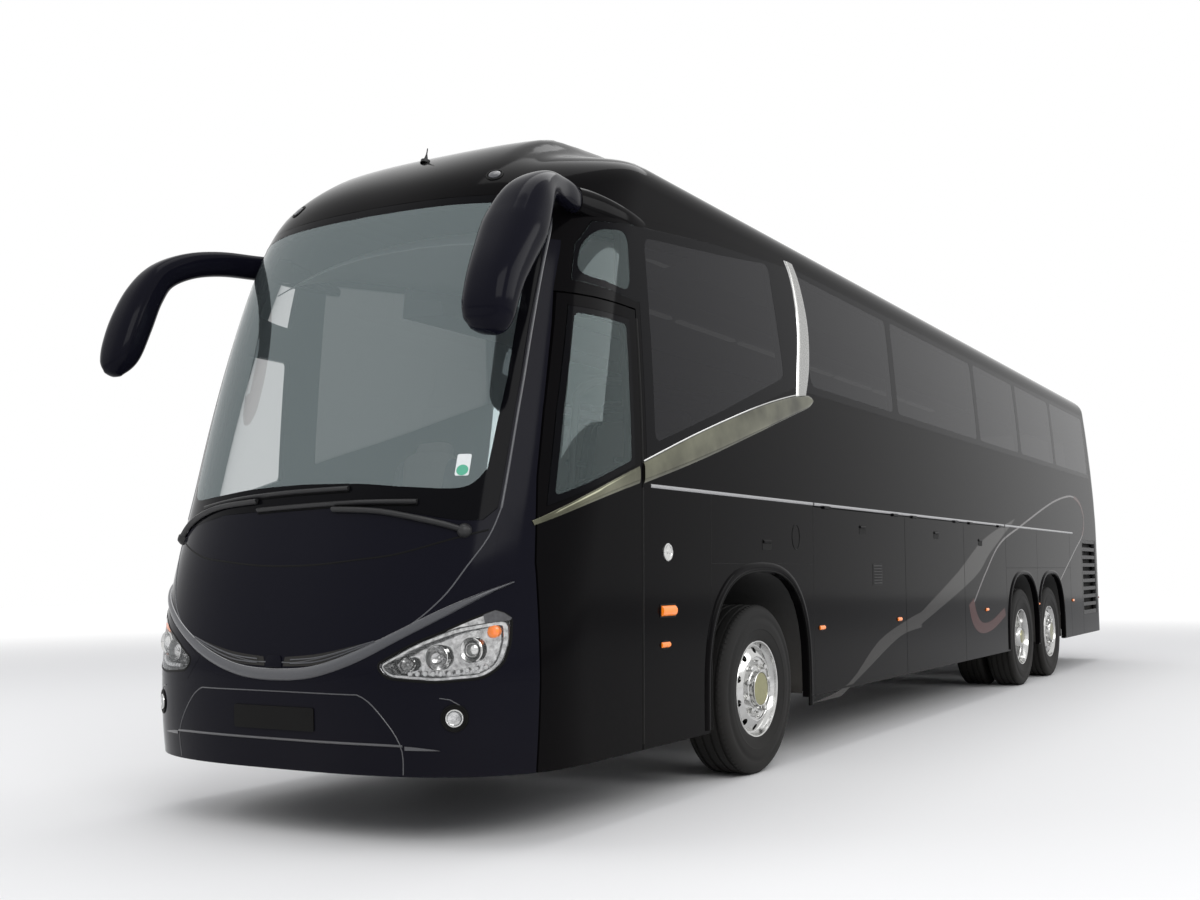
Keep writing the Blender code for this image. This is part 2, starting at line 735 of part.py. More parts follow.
# Regions of the skin
WIDE = (-HALF - BEYOND, HALF + BEYOND)
NOSE_CLEAR = NOSE_AFT - BEYOND
TAIL_CLEAR = TAIL_AFT + BEYOND
front_region = tuple([(NOSE_CLEAR, -BEYOND), (FRONT_LINE[0][0], -BEYOND)] + list(FRONT_LINE)
                     + [(NOSE_CLEAR, FRONT_LINE[-1][1])])
roof_region = tuple(moved([(NOSE_CLEAR, FRONT_LINE[-1][1]), FRONT_LINE[-1]] + list(ROOF_LINE)
                          + [(TAIL_CLEAR, ROOF_SPLIT_Z)], 0.0, GAP)
                    + [(TAIL_CLEAR, TOP_CLEAR), (NOSE_CLEAR, TOP_CLEAR)])
side_region = tuple([(FRONT_LINE[0][0] + GAP, -BEYOND)] + moved(FRONT_LINE, GAP)
                    + list(ROOF_LINE) + [(TAIL_LINE, ROOF_SPLIT_Z), (TAIL_LINE, -BEYOND)])
tail_region = rectangle((TAIL_LINE + GAP, TAIL_CLEAR), (-BEYOND, ROOF_SPLIT_Z))
front_cut = prism("front_region", front_region, *WIDE, 0)
sill_cut = block("sill_rear", (WIDE[0], -ARCHES[0][1], -BEYOND), (WIDE[1], TAIL_CLEAR, SILL_REAR_Z))

screen = mirrored(SCREEN_HALF)
bumper_outline = mirrored(BUMPER_HALF)
panel_outline = mirrored(PANEL_HALF)
screen_pocket = pane_pocket("screen_pocket", screen, *NOSE_REACH, 1)
screen_open = prism("screen_open", grow(screen, -SCREEN_BOND), *NOSE_REACH, 1)

# Headlamps, deep units that the bumper, the nose panel and the mask close around
headlamp_cuts = []
for side, word in ((1, "left"), (-1, "right")):
    shape = sided(HEADLAMP, side)
    lamp = layer("headlamp_" + word, 0.0, LAMP_DEPTH, PIECES)
    dress(keep(lamp, prism("headlamp_shape_" + word, shape, NOSE_CLEAR, LAMP_REAR, 1)), "lamp_lens")
    headlamp_cuts.append(prism("headlamp_cut_" + word, grow(shape, GAP), NOSE_CLEAR, LAMP_REAR + GAP, 1))

bumper = layer("bumper", 0.0, WALL, PIECES)
keep(bumper, front_cut, prism("bumper_shape", bumper_outline, *NOSE_REACH, 1))
dress(cut(bumper, *headlamp_cuts), "black_paint")

nose_panel = layer("nose_panel", 0.0, WALL, PIECES)
keep(nose_panel, prism("panel_shape", panel_outline, *NOSE_REACH, 1))
dress(cut(nose_panel, *headlamp_cuts), "black_paint")

mask = keep(layer("front_mask", 0.0, WALL, PIECES), front_cut)
cut(mask, prism("mask_bumper", grow(bumper_outline, GAP), *NOSE_REACH, 1),
    prism("mask_panel", grow(panel_outline, GAP), *NOSE_REACH, 1),
    screen_pocket, screen_open, *headlamp_cuts)
dress(mask, "black_paint")

windscreen = layer("windscreen", 0.0, GLASS, PIECES)
dress(keep(windscreen, prism("screen_shape", screen, *NOSE_REACH, 1)), "screen_glass")

roof = keep(layer("roof", 0.0, WALL, PIECES), prism("roof_region", roof_region, *WIDE, 0))
dress(cut(roof, screen_pocket, screen_open), "black_paint")

# Side walls with their glass, lockers, arches and grille
door_hole = rectangle((NOSE_AFT, DOOR_REAR + DOOR_CLEAR), (-BEYOND, DOOR_TOP + DOOR_CLEAR))
door_front = moved(FRONT_LINE, DOOR_CLEAR)
door_shape = tuple([(door_front[0][0], -BEYOND)] + door_front[:4]
                   + [(door_front[4][0], DOOR_TOP), (DOOR_REAR, DOOR_TOP), (DOOR_REAR, -BEYOND)])
for side, word in ((1, "left"), (-1, "right")):
    span = side_span(side)
    wall = layer("side_wall_" + word, 0.0, WALL, PIECES)
    keep(wall, prism("side_region_" + word, side_region, *span, 0))
    cut(wall, sill_cut, pane_pocket("glazing_pocket_" + word, GLAZING, *span, 0))
    glass = layer("side_glazing_" + word, 0.0, GLASS, PIECES)
    dress(keep(glass, prism("glazing_shape_" + word, GLAZING, *span, 0)), "dark_glass")
    panes = list(FRONT_PANES)
    for low_front, high_front, rear in PANES:
        panes.append(((low_front, PANE_Z[0]), (rear, PANE_Z[0]), (rear, PANE_Z[1]),
                      (high_front, PANE_Z[1] + PANE_RISE)))
    for index, pane in enumerate(panes):
        cut(wall, prism("pane_%s_%d" % (word, index), pane, *span, 0))
    for index, arch in enumerate(ARCHES):
        cut(wall, prism("arch_%s_%d" % (word, index), arch_outline(arch), *span, 0))
    if side > 0:
        cut(wall, prism("door_opening", door_hole, *span, 0))
        shape = rectangle(GRILLE_AFT, GRILLE_Z)
        cut(wall, prism("grille_hole", grow(shape, GAP), *span, 0))
        grille = layer("radiator_grille", GRILLE_DEPTH, WALL, PIECES)
        keep(grille, prism("grille_shape", shape, *span, 0))
        pitch = (GRILLE_Z[1] - GRILLE_Z[0]) / (GRILLE_SLATS + 0.5)
        slot_aft = (GRILLE_AFT[0] + GRILLE_BORDER, GRILLE_AFT[1] - GRILLE_BORDER)
        for index in range(GRILLE_SLATS):
            low = GRILLE_Z[0] + pitch * (index + 0.5)
            slot = rectangle(slot_aft, (low, low + pitch * GRILLE_SHARE))
            cut(grille, prism("grille_slot_%d" % index, slot, *span, 0))
        dress(grille, "black_plastic")
    else:
        glass = layer("driver_glass_right", 0.0, GLASS, PIECES)
        dress(keep(glass, prism("driver_glass_shape", DOOR_WINDOW, *span, 0)), "dark_glass")
        cut(wall, pane_pocket("driver_glass_pocket", DOOR_WINDOW, *span, 0),
            prism("driver_glass_open", grow(DOOR_WINDOW, -WINDOW_BOND), *span, 0))
    for title, start, end in LOCKERS:
        hole = rectangle((start - CLEAR / 2, end + CLEAR / 2), (-BEYOND, LOCKER_TOP))
        cut(wall, prism("%s_hole_%s" % (title, word), hole, *span, 0))
        hinge_x = side * (HALF + HINGE_OUT)
        hinge_z = LOCKER_TOP - CLEAR / 2
        leaf = layer("%s_%s" % (title, word), 0.0, WALL, PIECES)
        shape = rectangle((start + CLEAR / 2, end - CLEAR / 2), (SILL_REAR_Z, LOCKER_TOP - CLEAR))
        keep(leaf, prism("%s_shape_%s" % (title, word), shape, *span, 0))
        for index, aft in enumerate((start + HINGE_IN, end - HINGE_IN)):
            name = "%s_hinge_%s_%d" % (title, word, index)
            cut(wall, hinge_bed(name + "_bed", (hinge_x, aft, hinge_z), "Y"))
            join(leaf, hinge_barrel(name, (hinge_x, aft, hinge_z), "Y"))
        dress(leaf, "black_paint", (hinge_x, (start + end) / 2, hinge_z))
    dress(wall, "black_paint")

# Door leaf with a lug and a pin for each arm of the door gear
span = side_span(1)
leaf = keep(layer("door_leaf", 0.0, WALL, PIECES), prism("door_shape", door_shape, *span, 0))
cut(leaf, pane_pocket("door_pocket", DOOR_WINDOW, *span, 0),
    prism("door_window_open", grow(DOOR_WINDOW, -WINDOW_BOND), *span, 0))
for index, z in enumerate(DOOR_ARMS_Z):
    lug_low = z + DOOR_ARM_R + CLEAR
    lug = block("door_lug_%d" % index,
                (DOOR_PIN[0] - DOOR_LUG_HALF, DOOR_PIN[1] - DOOR_LUG_HALF, lug_low),
                (HALF - WALL * 2 / 3, DOOR_PIN[1] + DOOR_LUG_HALF, lug_low + DOOR_LUG_THICK))
    pin = rod("door_pin_%d" % index, (z - DOOR_PIN_BELOW, z + DOOR_PIN_ABOVE), DOOR_PIN_R, DOOR_PIN_SIDES,
              (*DOOR_PIN, 0.0))
    join(leaf, lug, pin)
dress(leaf, "black_paint", (*DOOR_PIN, SILL_Z))
door_glass = layer("door_glass", 0.0, GLASS, PIECES)
dress(keep(door_glass, prism("door_window_shape", DOOR_WINDOW, *span, 0)), "dark_glass", (*DOOR_PIN, SILL_Z))

# Swinging arm: upright tube with two arms that end in eyes around the leaf's pins
arm = rod("door_arm", (TREADS[0][1] + GAP, DOOR_POST_TOP), DOOR_ARM_R, DOOR_PIN_SIDES, (*DOOR_POST, 0.0),
          "Z", PIECES)
for index, z in enumerate(DOOR_ARMS_Z):
    heights = (z - DOOR_ARM_R, z + DOOR_ARM_R)
    link = block("door_link_%d" % index, (DOOR_POST[0] - DOOR_ARM_HALF, DOOR_POST[1], heights[0]),
                 (DOOR_POST[0] + DOOR_ARM_HALF, DOOR_PIN[1] - DOOR_ARM_R, heights[1]))
    around = eye("door_eye_%d" % index, heights, DOOR_EYE_R, DOOR_PIN_R, SPINDLE_SIDES, (*DOOR_PIN, 0.0))
    join(arm, link, around)
dress(arm, "frame_steel")

# Tail with its window, engine lid and lamps
tail = keep(layer("rear_wall", 0.0, WALL, PIECES), prism("tail_region", tail_region, *WIDE, 0))
cut(tail, sill_cut, pane_pocket("rear_pocket", REAR_WINDOW, *TAIL_REACH, 1),
    prism("rear_window_open", grow(REAR_WINDOW, -WINDOW_BOND), *TAIL_REACH, 1),
    prism("engine_hole", grow(ENGINE_LID, CLEAR), *TAIL_REACH, 1))
rear_window = layer("rear_window", 0.0, GLASS, PIECES)
dress(keep(rear_window, prism("rear_window_shape", REAR_WINDOW, *TAIL_REACH, 1)), "dark_glass")
lid = keep(layer("engine_lid", 0.0, WALL, PIECES), prism("engine_lid_shape", ENGINE_LID, *TAIL_REACH, 1))
LID_TOP = ENGINE_LID[2][1]
for index, across in enumerate((-LID_HINGE_X, LID_HINGE_X)):
    place = (across, tail_back(LID_TOP), LID_TOP + CLEAR / 2)
    cut(tail, hinge_bed("lid_hinge_bed_%d" % index, place, "X"))
    join(lid, hinge_barrel("lid_hinge_%d" % index, place, "X"))
dress(lid, "black_paint", (0.0, tail_back(LID_TOP), LID_TOP + CLEAR / 2))
for side, word in ((1, "left"), (-1, "right")):
    shape = sided(TAIL_LAMP, side)
    cut(tail, prism("tail_lamp_hole_" + word, grow(shape, GAP), *TAIL_LAMP_REACH, 1))
    lamp = layer("tail_lamp_" + word, 0.0, TAIL_LAMP_DEPTH, PIECES)
    dress(keep(lamp, prism("tail_lamp_shape_" + word, shape, *TAIL_LAMP_REACH, 1)), "red_lens")
dress(tail, "black_paint")

# Underframe: floors, bulkheads and chassis rails in one welded body
inner = inner_volume("inner_volume", WALL + GAP)
BULK_TOP = SALOON_FLOOR[0] + BITE
frame = block("underframe", (-HALF, BULKHEAD_FRONT, SALOON_FLOOR[0]), (HALF, FLOOR_REAR, SALOON_FLOOR[1]),
              PIECES)
# Half width, station, height
CROSS_PLATES = (
    ("bulkhead_cab", HALF, (BULKHEAD_FRONT, BULKHEAD_FRONT + PLATE), (POST_LOW, BULK_TOP)),
    ("bulkhead_bay_front", BAY_SIDE, (BAY[0], BAY[0] + PLATE), (BAY_FLOOR[0], BULK_TOP)),
    ("bulkhead_bay_rear", BAY_SIDE, (BAY[1] - PLATE, BAY[1]), (BAY_FLOOR[0], BULK_TOP)),
    ("bay_floor", BAY_SIDE, (BAY[0] + BITE, BAY[1] - BITE), BAY_FLOOR),
    ("post_axle", RAIL_OUT, (AXLES[1] + TAG_PITCH / 2 - PLATE / 2, AXLES[1] + TAG_PITCH / 2 + PLATE / 2),
     (POST_LOW, BULK_TOP)),
    ("post_engine", RAIL_OUT, (ENGINE_POST, ENGINE_POST + PLATE), (RAIL_Z[0] + BITE, BULK_TOP)),
)
for title, half, aft, heights in CROSS_PLATES:
    join(frame, block(title, (-half, aft[0], heights[0]), (half, aft[1], heights[1])))
join(frame, block("cab_floor", (-HALF, CAB_FLOOR_FRONT, CAB_FLOOR[0]),
                  (CAB_EDGE, BULKHEAD_FRONT + 2 * BITE, CAB_FLOOR[1])))
for side, word in ((1, "left"), (-1, "right")):
    front_end = BULKHEAD_FRONT + BITE if side > 0 else RAIL_FRONT
    for title, ends in (("rail_front_", (front_end, BAY[0] + 2 * BITE)),
                        ("rail_rear_", (BAY[1] - 2 * BITE, RAIL_REAR))):
        join(frame, bar(title + word, side, (RAIL_IN, RAIL_OUT), ends, RAIL_Z))
dress(keep(frame, inner), "floor_grey")

engine_side = RAIL_IN - GAP
engine = block("engine", (-engine_side, ENGINE_AFT[0], ENGINE_Z[0]),
               (engine_side, ENGINE_AFT[1], ENGINE_Z[1]), PIECES)
dress(engine, "cast_iron")

# Entrance steps from the doorway up to the saloon floor
step_line = [(CAB_END + STEPS_FRONT, TREADS[0][1])]
for (end, z), after in zip(TREADS, [z for end, z in TREADS[1:]] + [LANDING_Z]):
    step_line += [(CAB_END + end, z), (CAB_END + end, after)]
step_line += [(BULKHEAD_FRONT - GAP, LANDING_Z), (BULKHEAD_FRONT - GAP, LANDING_UNDER)]
step_line += stations(CAB_END, STEPS_UNDER)
steps = prism("entrance_steps", tuple(step_line), CAB_EDGE + GAP, STEPS_SIDE, 0, PIECES)
dress(keep(steps, inner_volume("door_volume", WALL + 2 * CLEAR)), "floor_grey")

# Dashboard across the cab, with the steering column
dash = keep(prism("dashboard", DASH_LINE, -DASH_SIDE, DASH_END, 0, PIECES), inner)
steering_place = (STEERING_POS[0], STEERING_POS[1] + FRONT_AXLE_Y, STEERING_POS[2])
bpy.ops.mesh.primitive_torus_add(major_segments=RIM_SEGMENTS, minor_segments=RIM_SIDES, major_radius=RIM_R,
                                 minor_radius=RIM_TUBE, location=steering_place,
                                 rotation=(STEERING_TILT, 0.0, 0.0))
wheel = file_away(bpy.context.object, PIECES)
wheel.name = "steering_wheel"
tilt = Matrix.Rotation(STEERING_TILT, 4, "X")
for index in range(SPOKES):
    turn = Matrix.Rotation(math.tau * (index / SPOKES + 0.25), 4, "Z")
    spoke = rod("spoke_%d" % index, (BITE, RIM_R), SPOKE_R, RIM_SIDES + 1, STEERING_POS)
    spoke.rotation_euler = (tilt @ turn @ AXIS_TURN["X"]).to_euler()
    join(wheel, spoke)
hub = turned("wheel_hub", HUB_LINE, COLUMN_SIDES, STEERING_POS, "Z")
column = rod("column", (COLUMN_END, HUB_LINE[-1][0] - GAP), COLUMN_R, COLUMN_SIDES, STEERING_POS)
for item in (hub, column):
    item.rotation_euler = tilt.to_euler()
dress(join(wheel, hub), "black_plastic")
dress(join(dash, column), "black_plastic")

driver_seat = prism("driver_seat", DRIVER_SEAT, DRIVER_X - DRIVER_SEAT_HALF, DRIVER_X + DRIVER_SEAT_HALF, 0,
                    PIECES)
dress(driver_seat, "seat_cloth")

# Passenger seats
floor = SALOON_FLOOR[1] + GAP
middle = (AISLE_HALF + SEAT_SIDE_X) / 2
for side, word in ((1, "left"), (-1, "right")):
    last = SEAT_FIRST + SEAT_PITCH * (SEAT_ROWS - 1)
    rail = bar("seats_" + word, side, (middle - SEAT_RAIL_HALF, middle + SEAT_RAIL_HALF),
               (SEAT_FIRST + SEAT_RAIL_ENDS[0], last + SEAT_RAIL_ENDS[1]), (floor, floor + SEAT_RAIL_Z),
               PIECES)
    low, high = sorted((side * AISLE_HALF, side * SEAT_SIDE_X))
    row = prism("seat_row_" + word, tuple(moved(SEAT_LINE, SEAT_FIRST, floor)), low, high, 0)
    leg = bar("seat_leg_" + word, side, (middle - SEAT_LEG_HALF, middle + SEAT_LEG_HALF),
              (SEAT_FIRST + SEAT_LEG[0], SEAT_FIRST + SEAT_LEG[1]), (floor + 2 * BITE, floor + SEAT_LEG_TOP))
    join(row, leg)
    repeat = row.modifiers.new("rows", "ARRAY")
    repeat.count = SEAT_ROWS
    repeat.use_relative_offset = False
    repeat.use_constant_offset = True
    repeat.constant_offset_displace = (0.0, SEAT_PITCH, 0.0)
    dress(join(rail, row), "seat_cloth")

# Luggage racks along both sides
rack_line = tuple((HALF - in_from, z) for in_from, z in RACK_LINE)
for side, word in ((1, "left"), (-1, "right")):
    rack = prism("luggage_rack_" + word, sided(rack_line, side), *RACK_AFT, 1, PIECES)
    dress(keep(rack, inner), "floor_grey")

# Front axle: a beam with an air bellows and a kingpin boss on each side
BEAM_HALF = 0.05
BEAM_Z = (0.46, 0.58)
BOSS_Z = (0.44, 0.60)
BOSS_R = 0.06
KINGPIN_R = 0.025
PIN_SIDES = 12
BELLOWS_R = 0.10
BELLOWS_SIDES = 14
BELLOWS_TOP = RAIL_Z[0] - GAP
beam_end = KINGPIN_X - BOSS_R / 2
beam = block("front_axle", (-beam_end, -BEAM_HALF, BEAM_Z[0]), (beam_end, BEAM_HALF, BEAM_Z[1]), PIECES)
for side, word in ((1, "left"), (-1, "right")):
    boss = eye("boss_" + word, BOSS_Z, BOSS_R, KINGPIN_R, SPINDLE_SIDES, (side * KINGPIN_X, 0.0, 0.0))
    bellows = rod("bellows_" + word, (BEAM_Z[0] + BEAM_HALF, BELLOWS_TOP), BELLOWS_R, BELLOWS_SIDES,
                  (side * RAIL_IN, 0.0, 0.0))
    join(beam, boss, bellows)
dress(beam, "frame_steel")

# Knuckles, which turn about the kingpins
FLANGE = (0.075, 0.10)
FLANGE_R = 0.09
EAR_THICK = 0.04
EAR = (-0.04, 0.09)
WEB = (0.07, 0.09)
for side, word in ((1, "left"), (-1, "right")):
    spindle_end = KINGPIN_OFFSET + SPINDLE_END
    line = ((spindle_end, 0.0), (spindle_end, SPINDLE_R), (FLANGE[1], SPINDLE_R), (FLANGE[1], FLANGE_R),
            (FLANGE[0], FLANGE_R), (FLANGE[0], 0.0))
    knuckle = turned("knuckle_" + word, line, SPINDLE_SIDES, (side * KINGPIN_X, 0.0, TYRE_R),
                     "X" if side > 0 else "-X", PIECES)
    for title, heights in (("ear_low_", (BOSS_Z[0] - EAR_THICK, BOSS_Z[0] - GAP)),
                           ("ear_high_", (BOSS_Z[1] + GAP, BOSS_Z[1] + EAR_THICK))):
        join(knuckle, bar(title + word, side, (KINGPIN_X + EAR[0], KINGPIN_X + EAR[1]),
                          (-BEAM_HALF, BEAM_HALF), heights))
    heights = (BOSS_Z[0] - EAR_THICK + BITE, BOSS_Z[1] + EAR_THICK - BITE)
    join(knuckle, bar("web_" + word, side, (KINGPIN_X + WEB[0], KINGPIN_X + WEB[1]), (-BEAM_HALF, BEAM_HALF),
                      heights))
    join(knuckle, rod("kingpin_" + word, heights, KINGPIN_R, PIN_SIDES, (side * KINGPIN_X, 0.0, 0.0)))
    dress(knuckle, "frame_steel")

# Wheels: a convex disc in front and on the tag axle, a deep twin on the drive axle
# Tyre: share of its half width, share of its radius
TYRE_LINE = ((0.80, 0.598), (1.0, 0.766), (0.963, 0.929), (0.814, 1.0))
# Discs: distance outwards from the tyre's middle, radius
HUB_HOLE_R = clear_radius(SPINDLE_R, WHEEL_SIDES)
DISC_OUT = ((0.155, 0.0), (0.155, 0.075), (0.14, 0.11), (0.105, 0.125), (0.12, 0.19), (0.085, 0.255),
            (0.115, 0.285))
DISC_IN = ((0.03, 0.255), (0.075, 0.20), (0.06, 0.11), (0.0, 0.10), (0.0, HUB_HOLE_R))
TWIN_OUT = ((0.14, 0.0), (0.14, 0.08), (0.12, 0.11), (-0.03, 0.12), (-0.05, 0.20), (-0.03, 0.245),
            (0.115, 0.275))
TWIN_IN = ((-0.14, 0.25), (-0.12, 0.12), (-0.30, 0.11), (-0.30, HUB_HOLE_R))
HUB_HOLE_END = [(HUB_BORE_END, HUB_HOLE_R), (HUB_BORE_END, 0.0)]
TWIN_GROOVE_R = (0.42, 0.34)


def tyre_line(centre):
    outer = [(centre + TYRE_HALF * along, TYRE_R * radius) for along, radius in TYRE_LINE]
    inner_side = [(centre - TYRE_HALF * along, TYRE_R * radius) for along, radius in TYRE_LINE]
    return outer + inner_side[::-1]


single_line = list(DISC_OUT) + tyre_line(0.0) + list(DISC_IN) + HUB_HOLE_END
groove = [(-TYRE_HALF, TWIN_GROOVE_R[0]), (-TWIN_PITCH / 2, TWIN_GROOVE_R[1]),
          (TYRE_HALF - TWIN_PITCH, TWIN_GROOVE_R[0])]
twin_line = list(TWIN_OUT) + tyre_line(0.0)[:6] + groove + tyre_line(-TWIN_PITCH)[2:] + list(TWIN_IN)
twin_line += HUB_HOLE_END
for group, aft, line in (("front", AXLES[0], single_line), ("drive", AXLES[1], twin_line),
                         ("tag", AXLES[2], single_line)):
    for side, word in ((1, "left"), (-1, "right")):
        wheel = turned("wheel_%s_%s" % (group, word), line, WHEEL_SIDES, (side * WHEEL_X, aft, TYRE_R),
                       "X" if side > 0 else "-X", PIECES)
        dress(wheel, "tyre_rubber")

# Drive axle with its differential, and the tag axle: distance from the middle, radius
AXLE_ENDS = [(WHEEL_X + SPINDLE_END, 0.0), (WHEEL_X + SPINDLE_END, SPINDLE_R)]
DRIVE_LINE = [(WHEEL_X - 0.5075, SPINDLE_R), (WHEEL_X - 0.5475, 0.09), (0.25, 0.10), (0.12, 0.19)]
TAG_LINE = [(WHEEL_X - 0.2075, SPINDLE_R), (WHEEL_X - 0.2275, 0.07)]
for title, aft, half_line in (("drive_axle", AXLES[1], DRIVE_LINE), ("tag_axle", AXLES[2], TAG_LINE)):
    outer = AXLE_ENDS + half_line
    line = outer + [(-along, radius) for along, radius in outer[::-1]]
    axle = turned(title, line, SPINDLE_SIDES, (0.0, aft, TYRE_R), "X", PIECES)
    for side, word in ((1, "left"), (-1, "right")):
        name = "%s_bellows_%s" % (title, word)
        place = (side * RAIL_IN, aft, 0.0)
        join(axle, rod(name, (TYRE_R + BITE, BELLOWS_TOP), BELLOWS_R, BELLOWS_SIDES, place))
    dress(axle, "cast_iron")

# Mirrors on long curved arms that hang beside the windscreen
outer_volume = inner_volume("outer_volume", -GAP)
for side, word in ((1, "left"), (-1, "right")):
    sections = [((side * (HALF - in_from), CAB_END + back, z), across, along)
                for in_from, back, z, across, along in MIRROR]
    mirror = loft("mirror_" + word, sections, MIRROR_SIDES, PIECES)
    dress(cut(mirror, outer_volume), "black_plastic")
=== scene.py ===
import math

import bmesh
import bpy
from mathutils import Matrix, Vector
from mathutils.bvhtree import BVHTree


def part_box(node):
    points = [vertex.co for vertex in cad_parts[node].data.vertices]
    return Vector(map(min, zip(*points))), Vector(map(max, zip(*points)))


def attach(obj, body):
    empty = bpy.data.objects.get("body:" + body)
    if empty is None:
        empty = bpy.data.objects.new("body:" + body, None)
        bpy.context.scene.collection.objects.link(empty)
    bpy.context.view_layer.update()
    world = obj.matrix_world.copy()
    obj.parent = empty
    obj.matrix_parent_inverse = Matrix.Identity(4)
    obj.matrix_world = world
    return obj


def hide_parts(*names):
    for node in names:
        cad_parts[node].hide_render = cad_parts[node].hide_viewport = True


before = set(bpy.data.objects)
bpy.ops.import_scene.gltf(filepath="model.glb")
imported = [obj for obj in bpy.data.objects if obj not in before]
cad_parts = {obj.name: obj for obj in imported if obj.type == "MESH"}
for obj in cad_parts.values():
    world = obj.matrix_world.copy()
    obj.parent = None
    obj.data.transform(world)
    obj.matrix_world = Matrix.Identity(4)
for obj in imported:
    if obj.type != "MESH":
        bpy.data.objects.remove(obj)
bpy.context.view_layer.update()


# Camera. It stands low beside the door and ahead of the nose, at the photograph's place and angle.
# Both were recovered from straight edges and the wheels' ellipses; the focal length is in pixels.
# A turns a station, which counts from the front axle to the rear, into the frame's Y.
def placed(name, data):
    """New object of the scene."""
    item = bpy.data.objects.new(name, data)
    bpy.context.scene.collection.objects.link(item)
    return item


A = -4.21
FOCAL, PHOTO_WIDTH, SHIFT, FILM_WIDTH = 1265.99, 1200, -100, 36
CAMERA_PLACE = (4.688, -7.2662 + A, 1.2483)
YAW = 0.4870
PITCH = 0.0964
ROLL = -0.0080
ahead = Vector((-math.sin(YAW) * math.cos(PITCH), math.cos(YAW) * math.cos(PITCH), math.sin(PITCH)))
level = Vector((math.cos(YAW), math.sin(YAW), 0.0))
above = level.cross(ahead)
right = level * math.cos(ROLL) + above * math.sin(ROLL)
up = above * math.cos(ROLL) - level * math.sin(ROLL)
camera_data = bpy.data.cameras.new("camera")
camera_data.lens = FOCAL / PHOTO_WIDTH * FILM_WIDTH
camera_data.shift_x = SHIFT / PHOTO_WIDTH
camera_data.clip_end = 200
camera = placed("camera", camera_data)
turn = Matrix((right, up, -ahead)).transposed().to_4x4()
camera.matrix_world = Matrix.Translation(CAMERA_PLACE) @ turn
bpy.context.scene.camera = camera
bpy.context.scene.view_settings.view_transform = "Standard"


# Studio. A pale floor and a soft sky that is darker near the horizon, as in a picture cut out on white.
# Its shades light matt surfaces only: the camera, reflections and glass see it plain white. Four large soft
# lamps stand ahead, beside and above.
def new_node(tree, kind, values=None, **options):
    """New node of a tree, with its options and its free inputs set."""
    node = tree.nodes.new(kind)
    for title, value in options.items():
        setattr(node, title, value)
    for title, value in (values or {}).items():
        node.inputs[title].default_value = value
    return node


def wire(tree, *pairs):
    """Links made from pairs of an output and an input, each a node with a socket's name or number."""
    for (giver, output), (taker, entry) in pairs:
        tree.links.new(giver.outputs[output], taker.inputs[entry])


world = bpy.data.worlds.new("studio")
bpy.context.scene.world = world
world.use_nodes = True
sky = world.node_tree
back = sky.nodes["Background"]
back.inputs["Strength"].default_value = 1.0
where = new_node(sky, "ShaderNodeTexCoord")
split = new_node(sky, "ShaderNodeSeparateXYZ")
shade = new_node(sky, "ShaderNodeValToRGB")
for stop, (position, colour) in zip(shade.color_ramp.elements, ((0.48, (0.28, 0.29, 0.31, 1)),
                                                                (1.0, (0.82, 0.82, 0.84, 1)))):
    stop.position = position
    stop.color = colour
half_up = new_node(sky, "ShaderNodeMapRange", {"From Min": -1.0})
path = new_node(sky, "ShaderNodeLightPath")
seen = new_node(sky, "ShaderNodeMix", {"B": (1.0, 1.0, 1.0, 1)}, data_type="RGBA")
through, any_ray = (new_node(sky, "ShaderNodeMath", operation="MAXIMUM") for _ in range(2))
wire(sky, ((where, "Generated"), (split, 0)), ((split, "Z"), (half_up, "Value")),
     ((half_up, "Result"), (shade, "Fac")), ((shade, "Color"), (seen, "A")),
     ((path, "Is Camera Ray"), (any_ray, 0)), ((path, "Is Glossy Ray"), (through, 0)),
     ((path, "Is Transmission Ray"), (through, 1)), ((through, 0), (any_ray, 1)),
     ((any_ray, 0), (seen, "Factor")), ((seen, "Result"), (back, "Color")))


def lamp(name, place, target, size, power):
    data = bpy.data.lights.new(name, "AREA")
    data.shape = "RECTANGLE"
    data.size, data.size_y = size
    data.energy = power
    item = placed(name, data)
    item.location = place
    item.rotation_euler = (Vector(target) - Vector(place)).to_track_quat("-Z", "Y").to_euler()
    return item


lamp("key", (10.0, -14.0, 10.0), (0.0, -3.0, 1.0), (10.0, 7.0), 900)
lamp("side", (14.0, 3.0, 8.0), (0.0, 2.0, 1.5), (14.0, 5.0), 600)
fill = lamp("fill", (-11.0, -12.0, 8.0), (0.0, -4.0, 1.5), (8.0, 6.0), 500)
fill.visible_glossy = False
lamp("top", (0.0, 0.0, 13.0), (0.0, 0.0, 0.0), (6.0, 16.0), 600)


# Materials. The paint, rubber, plastic, metal and cloth of a coach, each with its colour and roughness.
# Noise varies both a little, and dust gathers low on the coach. Panes are thin films that reflect; on the windscreen
# and door their teal grey film is a painted sky reflection.
def new_group(name, inputs, outputs):
    group = bpy.data.node_groups.new(name, "ShaderNodeTree")
    for title, kind, value in inputs:
        socket = group.interface.new_socket(title, in_out="INPUT", socket_type=kind)
        socket.default_value = value
    for title, kind in outputs:
        group.interface.new_socket(title, in_out="OUTPUT", socket_type=kind)
    return group, group.nodes.new("NodeGroupInput"), group.nodes.new("NodeGroupOutput")


